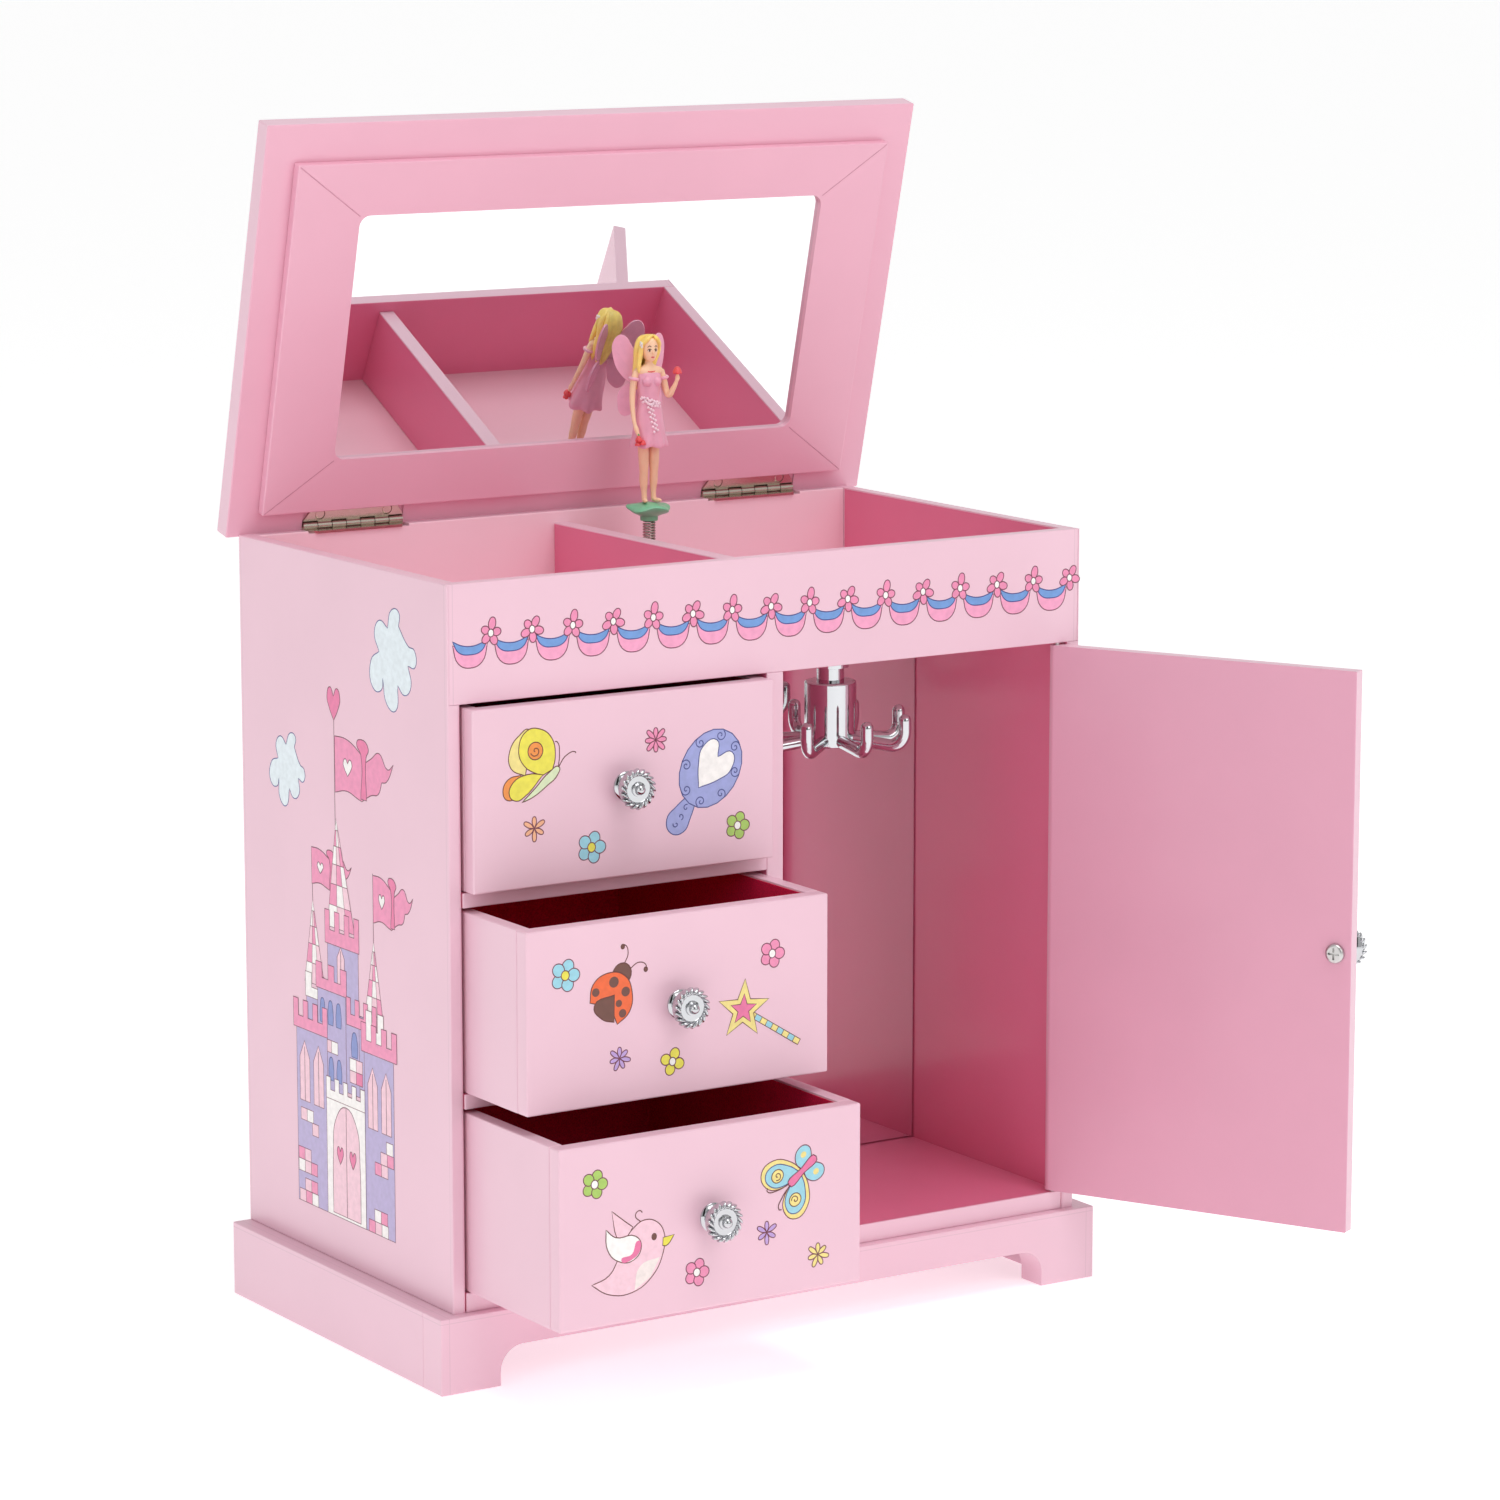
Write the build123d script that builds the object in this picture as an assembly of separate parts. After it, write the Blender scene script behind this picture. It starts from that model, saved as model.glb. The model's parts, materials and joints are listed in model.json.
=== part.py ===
"""Ballerina jewellery box: papered board case with a hinged mirror lid, a side door, three drawers,
a necklace carousel and a wind-up music movement that turns a dancer on a coil spring.

Millimetres. +Z up, the front faces -Y. Origin: middle of the back bottom edge, on the floor.
Every piece is drawn shut, then moved to its rest place: lid leaning, door open, drawers part out.
"""
from build123d import *
import os
from math import cos, sin, pi, radians

# ---- Driving dimensions -------------------------------------------------------------------------
body_width = 250.0
body_depth = 142.5
body_height = 240.0
plinth_height = 25.7
plinth_side_overhang = 6.7
plinth_front_overhang = 3.4
plinth_board = 12.0
foot_width = 22.3
arch_height = 13.2
arch_radius = 8.6

side_board = 5.0
back_board = 5.0
shelf_board = 5.0
bottom_thickness = 6.5
partition_board = 6.5
divider_board = 6.0
fascia_board = 5.0
fascia_height = 39.0
fascia_side_skin = 0.6
tray_floor_board = 5.0
divider_drop = 4.0
edge_ease = 0.4

movement_room = 40.5
cabinet_back_board = 4.0
cabinet_mirror_glass = 2.0
mirror_gap = 0.5

# Drawers
drawer_side_gap = 0.9
drawer_top_gap = 1.3
drawer_floor_gap = 0.3
drawer_front_board = 6.0
drawer_board = 5.0
drawer_bottom_board = 2.5
drawer_back_gap = 9.5
drawer_rest_pull = {1: 5.5, 2: 38.0, 3: 57.5}

# Door
door_board = 4.9
door_side_clearance = 0.75
door_pivot_from_front = 1.2
door_edge_gap = 0.9
door_height_gap = 0.8
door_pin_radius = 0.7
door_pin_reach = 4.0
door_open_angle = 117.0
side_nose_radius = 1.5

# Knobs and their screws
knob_radius = 7.0
knob_height = 10.5
knob_bore_depth = 7.0
screw_radius = 1.6
screw_head_radius = 3.4
screw_head_height = 1.8
door_knob_from_edge = 5.7

# Lid and its butt hinges
lid_overhang = 4.6
lid_depth = 145.5
lid_board_thickness = 7.0
lid_open_angle = 75.9
lid_lift = 0.4
lid_back_past_pin = 1.8
pin_behind_back = 0.6
pin_above_top = 1.0
lid_frame_thickness = 3.6
lid_frame_side_clearance = 1.7
lid_frame_from_back = 8.4
lid_frame_depth = 124.0
lid_window_width = 186.0
lid_window_depth = 87.0
lid_window_from_back = 27.0
lid_window_corner = 4.0
lid_mirror_glass = 1.8
lid_mirror_margin = 6.0
hinge_length = 39.0
hinge_centre_from_middle = 81.0
hinge_knuckles = 7
knuckle_radius = 1.8
knuckle_gap = 0.15
knuckle_room = 0.35
hinge_mortise_room = 0.2
roll_room = 0.3
hinge_pin_radius = 0.75
hinge_running_clearance = 0.05
hinge_leaf_thickness = 0.9
hinge_leaf_reach = 6.4
hinge_leaf_taper = 3.0
hinge_screw_spacing = 26.2
hinge_screw_radius = 0.9
hinge_screw_head_radius = 1.9
hinge_screw_head_height = 0.7
hinge_screw_length = 4.5

# Necklace carousel, hung under the tray floor
carousel_width_share = 0.46
carousel_depth_share = 0.56
hook_reach_share = 0.29
stud_flange_radius = 6.4
stud_drop = 10.0
stud_pin_radius = 1.5
stud_pin_clearance = 0.06
stud_head_radius = 3.2
stud_head_height = 1.5
carousel_play = 0.3
neck_radius = 4.75
neck_height = 4.5
hub_radius = 9.0
hub_height = 22.7
hub_recess_radius = 4.5
hub_recess_depth = 4.6
hook_count = 8
hook_rod_radius = 2.2
hook_root_above_hub_foot = 2.4
hook_dip = 2.0
hook_bend_radius = 5.0
hook_upright = 9.5
hook_turn = -6.0

# Dancer on her spring
dancer_from_partition = 17.25
dancer_from_back_panel = 25.5
spindle_radius = 1.5
spindle_clearance = 0.05
bush_radius = 4.0
bush_flange_radius = 6.0
bush_flange_height = 2.0
spindle_above_bush = 1.0
spring_radius = 2.35
spring_wire = 0.9
spring_length = 29.0
leaf_radius = 8.3
leaf_height = 6.5
leaf_socket_radius = 3.3
dancer_height = 58.5
dancer_facing = -25.0

# Music movement, behind the cabinet's back board
frame_plate = 2.5
frame_plate_left_margin = 4.0
frame_plate_width = 54.0
frame_foot_below_tray = 67.0
frame_top_below_tray = 2.5
ear_thickness = 2.5
pivot_radius = 1.0
pivot_clearance = 0.06
drum_radius = 6.5
drum_foot_below_tray = 60.0
drum_length = 23.5
drum_pin_radius = 0.35
drum_pin_length = 0.6
drum_pins = 54
comb_teeth = 18
comb_pitch = 1.25
comb_slot = 0.35
comb_tip_gap = 0.4
comb_tooth_length = 15.0
comb_base_width = 12.0
comb_thickness = 1.0
gear_module = 0.6
gear_tooth_depth = 0.66
gear_tooth_width = 0.62
gear_thickness = 2.0
wheel_teeth = 30
pinion_teeth = 10
gear_foot_below_tray = 63.0
governor_angle = 138.0
governor_shaft_radius = 0.6
fly_radius = 3.5
fly_height = 15.0
fly_thickness = 0.6
fly_clearance = 2.0
fly_ear_thickness = 1.5
star_teeth = 12
star_radius = 5.0
star_thickness = 3.0
star_tooth_depth = 1.0
star_tooth_width = 0.9
wheel_pins = 24
wheel_pin_radius = 0.45
wheel_pin_depth = 0.6
great_wheel_thickness = 1.6
great_wheel_rim = 1.5
great_wheel_clearance = 2.0
mesh_below_tray = 11.0
barrel_radius = 13.0
barrel_wall = 1.0
barrel_wheel_gap = 1.2
mainspring_turns = 5
mainspring_strip = 0.5
mainspring_room = 0.6
mainspring_end_gap = 0.5
arbor_radius = 1.5
arbor_clearance = 0.06
arbor_overrun = 1.5
key_gap = 1.0
arbor_hole_radius = 2.2
key_collar_radius = 3.0
key_collar_length = 5.0
key_wing_width = 22.0
key_wing_length = 13.0
key_wing_thickness = 2.4
key_wing_corner = 5.5
key_eye_radius = 1.8
movement_screw_radius = 1.0
movement_screw_head_radius = 2.2
movement_screw_head_height = 1.2

# ---- Planes that the pieces share ---------------------------------------------------------------
left, right = -body_width / 2, body_width / 2
front, back = -body_depth, 0.0
base = plinth_height
top = base + body_height
inner_left, inner_right = left + side_board, right - side_board
back_inner = back - back_board
bottom_top = base + bottom_thickness
fascia_foot = top - fascia_height
fascia_inner = front + fascia_board
tray_top = fascia_foot + tray_floor_board
partition_left, partition_right = -partition_board / 2, partition_board / 2
cabinet_back = back_inner - movement_room
cabinet_rear = cabinet_back - cabinet_back_board
bay_height = (fascia_foot - bottom_top - 2 * shelf_board) / 3
pieces = {}


def block(x, y, z):
    """A box between the low and high limits given for each axis."""
    middle = [(low + high) / 2 for low, high in (x, y, z)]
    return Pos(*middle) * Box(x[1] - x[0], y[1] - y[0], z[1] - z[0])


def board(x, y, z, ease=edge_ease):
    """A papered board: a box whose edges are all slightly rounded."""
    plain = block(x, y, z)
    return fillet(plain.edges(), ease)


def rod(radius, start, end):
    """A round bar between two points."""
    line = Vector(*end) - Vector(*start)
    return Plane(origin=start, z_dir=line) * Cylinder(
        radius, line.length, align=(Align.CENTER, Align.CENTER, Align.MIN)
    )


def turned(outline):
    """A solid of revolution about Z from (radius, height) points."""
    corners = [(radius, 0, height) for radius, height in outline]
    return revolve(make_face(Polyline(*corners, close=True)), Axis.Z)


# ---- Plinth -------------------------------------------------------------------------------------
plinth_left, plinth_right = left - plinth_side_overhang, right + plinth_side_overhang
plinth_front = front - plinth_front_overhang


def arched_rail():
    """The front rail: full height at both feet, cut away between them under two quarter arcs."""
    foot_in = plinth_right - foot_width
    rise = arch_height - arch_radius
    bay_top_width = 2 * (foot_in - arch_radius)
    gap = Pos(0, 0, rise / 2) * Box(2 * foot_in, 3 * plinth_board, rise)
    gap += Pos(0, 0, arch_height / 2) * Box(bay_top_width, 3 * plinth_board, arch_height)
    for side in (-1, 1):
        gap += rod(
            arch_radius,
            (side * bay_top_width / 2, -1.5 * plinth_board, rise),
            (side * bay_top_width / 2, 1.5 * plinth_board, rise),
        )
    gap = Pos(0, plinth_front + plinth_board / 2, 0) * gap
    solid = board(
        (plinth_left, plinth_right), (plinth_front, plinth_front + plinth_board), (0, plinth_height)
    )
    return solid - gap


rail_back = plinth_front + plinth_board
pieces["plinth_front"] = arched_rail()
pieces["plinth_left"] = board((plinth_left, plinth_left + plinth_board), (rail_back, back), (0, base))
pieces["plinth_right"] = board((plinth_right - plinth_board, plinth_right), (rail_back, back), (0, base))
pieces["plinth_back"] = block(
    (plinth_left + plinth_board, plinth_right - plinth_board), (back - plinth_board, back), (0, base)
)

# ---- Case boards --------------------------------------------------------------------------------
fascia_span = (left + fascia_side_skin, right - fascia_side_skin)
fascia_rebate = block(fascia_span, (front - 1, fascia_inner), (fascia_foot, top + 1))
for name, side in (("side_panel_left", -1), ("side_panel_right", 1)):
    limits = (left, inner_left) if side < 0 else (inner_right, right)
    plain = block(limits, (front, back), (base, top))
    nose = plain.edges().filter_by(Axis.Z).group_by(Axis.Y)[0]
    inner_nose = nose.sort_by(Axis.X)[-1 if side < 0 else 0]
    plain = fillet(inner_nose, side_nose_radius)
    outer = [e for e in plain.edges() if abs(e.center().X - side * body_width / 2) < 0.01]
    pieces[name] = fillet(outer, edge_ease) - fascia_rebate

pieces["back_panel"] = board((inner_left, inner_right), (back_inner, back), (base, top))
pieces["bottom_board"] = board((inner_left, inner_right), (front, back_inner), (base, bottom_top))
pieces["fascia"] = board(fascia_span, (front, fascia_inner), (fascia_foot, top))
pieces["tray_floor"] = block((inner_left, inner_right), (fascia_inner, back_inner), (fascia_foot, tray_top))
pieces["tray_divider"] = board(
    (-divider_board / 2, divider_board / 2), (fascia_inner, back_inner), (tray_top, top - divider_drop)
)
pieces["partition"] = board(
    (partition_left, partition_right), (front, back_inner), (bottom_top, fascia_foot)
)
for name, place in (("shelf_lower", 1), ("shelf_upper", 2)):
    shelf_foot = bottom_top + place * bay_height + (place - 1) * shelf_board
    pieces[name] = board(
        (inner_left, partition_left), (front, back_inner), (shelf_foot, shelf_foot + shelf_board)
    )
pieces["cabinet_back"] = block(
    (partition_right, inner_right), (cabinet_rear, cabinet_back), (bottom_top, fascia_foot)
)
pieces["cabinet_mirror"] = block(
    (partition_right + mirror_gap, inner_right - mirror_gap),
    (cabinet_rear - cabinet_mirror_glass, cabinet_rear),
    (bottom_top + mirror_gap, fascia_foot - mirror_gap),
)


# ---- Knobs and screws ---------------------------------------------------------------------------
def knob():
    """A turned pull standing on +Z: foot flange, waist, beaded head with a dished face."""
    head_foot = knob_height * 0.4
    body = turned([
        (0, 0), (knob_radius * 0.68, 0), (knob_radius * 0.68, 1.0), (knob_radius * 0.42, 2.0),
        (knob_radius * 0.42, 2.8), (knob_radius * 0.86, head_foot), (knob_radius, head_foot + 1.6),
        (knob_radius, head_foot + 3.4), (knob_radius * 0.8, knob_height - 1.0),
        (knob_radius * 0.66, knob_height - 1.0), (knob_radius * 0.5, knob_height),
        (knob_radius * 0.3, knob_height), (0, knob_height - 0.8),
    ])
    return body - rod(screw_radius, (0, 0, 0), (0, 0, knob_bore_depth))


def knob_screw(board_thickness):
    """A pan-head screw whose head sits behind the board at z = -thickness and reaches the knob."""
    head = rod(screw_head_radius, (0, 0, -board_thickness - screw_head_height), (0, 0, -board_thickness))
    head = fillet(head.edges().group_by(Axis.Z)[0], screw_head_height * 0.6)
    slot_depth = screw_head_height * 0.6
    slot = Box(screw_head_radius * 1.2, 0.7, slot_depth) + Box(0.7, screw_head_radius * 1.2, slot_depth)
    head -= Pos(0, 0, -board_thickness - screw_head_height + slot_depth / 2) * slot
    return head + rod(screw_radius, (0, 0, -board_thickness), (0, 0, knob_bore_depth - 1))


def facing_front(x, y, z):
    """Turn a piece that stands on +Z so that it points to the front from the given place."""
    return Pos(x, y, z) * Rot(90, 0, 0)


# ---- Drawers ------------------------------------------------------------------------------------
drawer_left = inner_left + drawer_side_gap
drawer_right = partition_left - drawer_side_gap
drawer_back = back_inner - drawer_back_gap
drawer_height = bay_height - drawer_top_gap - drawer_floor_gap
drawer_middle = (drawer_left + drawer_right) / 2
for number in (1, 2, 3):
    bay_foot = bottom_top + (3 - number) * (bay_height + shelf_board)
    foot = bay_foot + drawer_floor_gap
    head = foot + drawer_height
    pulled = Pos(0, -drawer_rest_pull[number], 0)
    wall_front = front + drawer_front_board
    knob_z = foot + drawer_height / 2
    face = board((drawer_left, drawer_right), (front, wall_front), (foot, head), 0.6)
    face -= rod(screw_radius, (drawer_middle, front, knob_z), (drawer_middle, wall_front, knob_z))
    walls = []
    for x in ((drawer_left, drawer_left + drawer_board), (drawer_right - drawer_board, drawer_right)):
        walls.append(board(x, (wall_front, drawer_back), (foot, head)))
    floor_span = (drawer_left + drawer_board, drawer_right - drawer_board)
    walls.append(board(floor_span, (drawer_back - drawer_board, drawer_back), (foot, head)))
    floor = block(floor_span, (wall_front, drawer_back - drawer_board), (foot, foot + drawer_bottom_board))
    seat = facing_front(drawer_middle, front, knob_z)
    pieces[f"drawer_{number}_front"] = pulled * face
    pieces[f"drawer_{number}_walls"] = [pulled * wall for wall in walls]
    pieces[f"drawer_{number}_bottom"] = pulled * floor
    pieces[f"drawer_{number}_knob"] = pulled * seat * knob()
    pieces[f"drawer_{number}_screw"] = pulled * seat * knob_screw(drawer_front_board)

# ---- Door ---------------------------------------------------------------------------------------
door_x = inner_right - door_board / 2 - door_side_clearance
door_y = front + door_pivot_from_front
door_foot, door_head = bottom_top + door_height_gap, fascia_foot - door_height_gap
door_half = door_board / 2
door_free = partition_right + door_edge_gap
swing = Pos(door_x, door_y, 0) * Rot(0, 0, door_open_angle) * Pos(-door_x, -door_y, 0)
panel = block((door_free, door_x), (door_y - door_half, door_y + door_half), (door_foot, door_head))
panel = fillet(panel.faces().sort_by(Axis.X)[0].edges(), edge_ease)
panel += rod(door_half, (door_x, door_y, door_foot), (door_x, door_y, door_head))
door_knob_x = door_free + door_knob_from_edge
door_knob_z = (door_foot + door_head) / 2
outer_face = door_y - door_half
knob_hole = ((door_knob_x, outer_face, door_knob_z), (door_knob_x, outer_face + door_board, door_knob_z))
panel -= rod(screw_radius, *knob_hole)
door_pins = []
for end, way in ((door_foot, -1), (door_head, 1)):
    inner = end - way * door_pin_reach
    outer = end + way * door_pin_reach
    panel -= rod(door_pin_radius, (door_x, door_y, inner), (door_x, door_y, end))
    door_pins.append(swing * rod(door_pin_radius, (door_x, door_y, inner), (door_x, door_y, outer)))
seat = swing * facing_front(door_knob_x, outer_face, door_knob_z)
pieces["door_panel"] = swing * panel
pieces["door_pins"] = door_pins
pieces["door_knob"] = seat * knob()
pieces["door_knob_screw"] = seat * knob_screw(door_board)
pivot_hole = door_pin_radius + hinge_running_clearance
sunk = door_height_gap + door_pin_reach
pieces["bottom_board"] -= rod(pivot_hole, (door_x, door_y, door_foot - sunk), (door_x, door_y, door_foot))
pieces["fascia"] -= rod(pivot_hole, (door_x, door_y, door_head), (door_x, door_y, door_head + sunk))

# ---- Lid, drawn shut, and its hinges --------------------------------------------------------------
pin_y, pin_z = back + pin_behind_back, top + pin_above_top
lid_back = pin_y + lid_back_past_pin
lid_front = lid_back - lid_depth
lid_face = top + lid_lift
raised = Pos(0, pin_y, pin_z) * Rot(-lid_open_angle, 0, 0) * Pos(0, -pin_y, -pin_z)
lid = board(
    (left - lid_overhang, right + lid_overhang), (lid_front, lid_back),
    (lid_face, lid_face + lid_board_thickness), 0.6,
)
frame_half = inner_right - lid_frame_side_clearance
frame_back = lid_back - lid_frame_from_back
frame_limits = (frame_back - lid_frame_depth, frame_back)
lid_frame = board((-frame_half, frame_half), frame_limits, (lid_face - lid_frame_thickness, lid_face), 0.5)
window_back = lid_back - lid_window_from_back
window_y = (window_back - lid_window_depth, window_back)
window = block((-lid_window_width / 2, lid_window_width / 2), window_y, (lid_face - 9, lid_face + 9))
window = fillet(window.edges().filter_by(Axis.Z), lid_window_corner)
glass_seat = block(
    (-lid_window_width / 2 - lid_mirror_margin, lid_window_width / 2 + lid_mirror_margin),
    (window_y[0] - lid_mirror_margin, window_y[1] + lid_mirror_margin),
    (lid_face - lid_mirror_glass, lid_face),
)
pieces["lid_frame"] = raised * (lid_frame - window - glass_seat)
pieces["lid_mirror"] = raised * glass_seat

knuckle_length = hinge_length / hinge_knuckles
bore_radius = hinge_pin_radius + hinge_running_clearance
lid_leaf_reach = lid_frame_from_back - lid_back_past_pin - roll_room
leaf_levels = {
    "case": (-hinge_leaf_thickness - pin_above_top, -pin_above_top),
    "lid": (-hinge_leaf_thickness, 0.0),
}


def hinge_leaf(owner, centre_x):
    """One leaf with its knuckles, about the pin axis: a tapered plate, tabs and bored rolls."""
    low, high = leaf_levels[owner]
    start = centre_x - hinge_length / 2
    clear = knuckle_radius + knuckle_room
    far = hinge_leaf_reach if owner == "case" else lid_leaf_reach
    half = hinge_length / 2
    outline = Polyline(
        (-half, -clear), (half, -clear), (half - hinge_leaf_taper, -far), (hinge_leaf_taper - half, -far),
        close=True,
    )
    leaf = Pos(centre_x, 0, low) * extrude(make_face(outline), high - low)
    knuckles = range(0, hinge_knuckles, 2) if owner == "case" else range(1, hinge_knuckles, 2)
    for index in knuckles:
        x0 = start + index * knuckle_length + knuckle_gap
        x1 = start + (index + 1) * knuckle_length - knuckle_gap
        leaf += rod(knuckle_radius, (x0, 0, 0), (x1, 0, 0))
        leaf += block((x0, x1), (-clear - 0.1, 0), (low, high))
    pin_bore = bore_radius if owner == "lid" else hinge_pin_radius
    leaf -= rod(pin_bore, (start - 1, 0, 0), (start + hinge_length + 1, 0, 0))
    return Pos(0, pin_y, pin_z) * leaf


def hinge_screw():
    """A small wood screw under a low round head; the head sits on z = 0 and the shank goes down."""
    head = rod(hinge_screw_head_radius, (0, 0, 0), (0, 0, hinge_screw_head_height))
    head = fillet(head.edges().group_by(Axis.Z)[-1], hinge_screw_head_height * 0.6)
    return head + rod(hinge_screw_radius, (0, 0, -hinge_screw_length), (0, 0, 0))


case_leaves, lid_leaves, case_screws, lid_screws, hinge_pins = [], [], [], [], []
back_cuts, lid_cuts, frame_cuts = [], [], []
case_screw_y = pin_y - (knuckle_radius + hinge_leaf_reach) / 2 + 0.2
lid_screw_y = pin_y - (knuckle_radius + knuckle_room + lid_frame_from_back - lid_back_past_pin) / 2
for side in (-1, 1):
    x = side * hinge_centre_from_middle
    half_span = hinge_length / 2 + hinge_mortise_room
    span = (x - half_span, x + half_span)
    case_leaf, lid_leaf = hinge_leaf("case", x), hinge_leaf("lid", x)
    hinge_pins.append(rod(hinge_pin_radius, (span[0], pin_y, pin_z), (span[1], pin_y, pin_z)))
    leaf_low = pin_z + leaf_levels["case"][0]
    roll = rod(knuckle_radius + roll_room, (span[0], pin_y, pin_z), (span[1], pin_y, pin_z))
    back_cuts += [block(span, (back_inner - 1, back + 1), (leaf_low, top + 1)), roll]
    roll_top = pin_z + knuckle_radius + roll_room
    roll_front = pin_y - knuckle_radius - knuckle_room
    lid_cuts.append(block(span, (roll_front, lid_back + 1), (lid_face - 1, roll_top)))
    leaf_high = pin_z + leaf_levels["lid"][1]
    lid_cuts.append(block(span, (frame_back - 1, pin_y - knuckle_radius), (lid_face - 1, leaf_high)))
    for step in (-1, 1):
        screw_x = x + step * hinge_screw_spacing / 2
        case_seat_z = pin_z + leaf_levels["case"][1] - hinge_screw_head_height
        lid_seat_z = pin_z + leaf_levels["lid"][0] + hinge_screw_head_height
        seat_case = Pos(screw_x, case_screw_y, case_seat_z)
        seat_lid = Pos(screw_x, lid_screw_y, lid_seat_z) * Rot(180, 0, 0)
        case_leaf -= seat_case * rod(hinge_screw_head_radius, (0, 0, 0), (0, 0, 1))
        case_leaf -= seat_case * rod(hinge_screw_radius, (0, 0, -2), (0, 0, 0))
        lid_leaf -= seat_lid * rod(hinge_screw_head_radius, (0, 0, 0), (0, 0, 1))
        lid_leaf -= seat_lid * rod(hinge_screw_radius, (0, 0, -2), (0, 0, 0))
        case_screws.append(seat_case * hinge_screw())
        lid_screws.append(seat_lid * hinge_screw())
        back_cuts.append(seat_case * rod(hinge_screw_radius, (0, 0, -hinge_screw_length), (0, 0, 0)))
        lid_cuts.append(seat_lid * rod(hinge_screw_radius, (0, 0, -hinge_screw_length), (0, 0, 0)))
    case_leaves.append(case_leaf)
    lid_leaves.append(lid_leaf)
for cut in back_cuts:
    pieces["back_panel"] -= cut
for cut in lid_cuts:
    lid -= cut
pieces["lid_board"] = raised * lid
pieces["hinge_leaves_case"] = case_leaves
pieces["hinge_leaves_lid"] = [raised * leaf for leaf in lid_leaves]
pieces["hinge_screws_case"] = case_screws
pieces["hinge_screws_lid"] = [raised * screw for screw in lid_screws]
pieces["hinge_pins"] = hinge_pins

# ---- Necklace carousel --------------------------------------------------------------------------
cabinet_depth = cabinet_rear - front
carousel_x = partition_right + carousel_width_share * (inner_right - partition_right)
carousel_y = front + carousel_depth_share * cabinet_depth
hook_reach = hook_reach_share * cabinet_depth
stud_foot = fascia_foot - stud_drop
neck_top = stud_foot - carousel_play
hub_top = neck_top - neck_height
hub_foot = hub_top - hub_height
head_top = hub_foot + hub_recess_depth - carousel_play
stud = turned([
    (0, head_top - stud_head_height), (stud_head_radius, head_top - stud_head_height),
    (stud_head_radius, head_top), (stud_pin_radius, head_top), (stud_pin_radius, stud_foot),
    (stud_flange_radius, stud_foot), (stud_flange_radius, stud_foot + 1.5),
    (neck_radius, stud_foot + 3.5), (neck_radius, fascia_foot - 2), (stud_flange_radius, fascia_foot),
    (0, fascia_foot),
])
hub_bore = stud_pin_radius + stud_pin_clearance
hub = rod(hub_radius, (0, 0, hub_foot), (0, 0, hub_top))
hub = fillet(hub.edges(), 0.8)
hub += rod(neck_radius, (0, 0, hub_top), (0, 0, neck_top))
hub -= rod(hub_bore, (0, 0, hub_foot), (0, 0, neck_top))
hub -= rod(hub_recess_radius, (0, 0, hub_foot), (0, 0, hub_foot + hub_recess_depth))


def carousel_hook():
    """One J hook along +X: a round bar that dips, bends up and ends in a round tip."""
    root = hub_foot + hook_root_above_hub_foot
    tip = (hook_reach, 0, root - hook_dip + hook_upright)
    path = FilletPolyline(
        (hub_radius * 0.7, 0, root), (hook_reach, 0, root - hook_dip), tip, radius=hook_bend_radius
    )
    start = Plane(origin=path @ 0, z_dir=path % 0)
    bar = sweep(start * Circle(hook_rod_radius), path=path)
    return bar + Pos(*tip) * Sphere(hook_rod_radius) - rod(hub_radius, (0, 0, 0), (0, 0, top))


at_carousel = Pos(carousel_x, carousel_y, 0)
pieces["carousel_stud"] = at_carousel * stud
pieces["carousel_hub"] = at_carousel * hub
one_hook = carousel_hook()
pieces["carousel_hooks"] = [
    at_carousel * Rot(0, 0, hook_turn + index * 360 / hook_count) * one_hook for index in range(hook_count)
]

# ---- Spindle bush, spring and dancer --------------------------------------------------------------
dancer_x = partition_right + dancer_from_partition
dancer_y = back_inner - dancer_from_back_panel
at_dancer = Pos(dancer_x, dancer_y, 0)
bush_top = tray_top + bush_flange_height
bush = rod(bush_radius, (0, 0, fascia_foot), (0, 0, tray_top))
bush += rod(bush_flange_radius, (0, 0, tray_top), (0, 0, bush_top))
bush -= rod(spindle_radius + spindle_clearance, (0, 0, fascia_foot), (0, 0, bush_top))
pieces["spindle_bush"] = at_dancer * bush
pieces["tray_floor"] -= at_dancer * rod(bush_radius, (0, 0, fascia_foot), (0, 0, tray_top))

spring_foot = bush_top + spindle_above_bush
spring_top = spring_foot + spring_length
spring = rod(spring_radius, (0, 0, spring_foot), (0, 0, spring_top))
spring -= rod(spring_radius - spring_wire, (0, 0, spring_foot), (0, 0, spring_top))
pieces["figurine_spring"] = at_dancer * spring
leaf_top = spring_top + leaf_height
leaf = turned([
    (0, spring_top), (leaf_socket_radius, spring_top),
    (leaf_socket_radius, spring_top + 0.23 * leaf_height), (leaf_radius, spring_top + 0.49 * leaf_height),
    (leaf_radius, spring_top + 0.75 * leaf_height), (leaf_radius * 0.6, leaf_top), (0, leaf_top),
])
pieces["leaf_base"] = at_dancer * leaf

hem, waist, bust, shoulder, crown = [
    leaf_top + share * dancer_height for share in (0.26, 0.53, 0.66, 0.74, 1.0)
]
head_radius = 0.085 * dancer_height
figure = turned([
    (0, hem), (6.4, hem), (4.9, hem + 4), (3.6, waist), (4.2, bust), (3.0, shoulder),
    (1.5, shoulder + 1.2), (1.5, shoulder + 5.5), (0, shoulder + 5.5),
])
figure += Pos(0, 0, crown - head_radius * 1.15) * Sphere(head_radius)
for side in (-1, 1):
    figure += rod(1.9, (side * 2.1, 0, leaf_top), (side * 2.1, 0, hem + 2))
    figure += rod(1.3, (side * 3.2, 0, shoulder - 1.6), (side * 6.6, -1.5, waist + 1))
figure += rod(1.2, (-6.6, -1.5, waist + 1), (-6.2, -4.0, hem + 3))
figure += rod(1.2, (6.6, -1.5, waist + 1), (9.0, -5.0, shoulder - 1))
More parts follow.
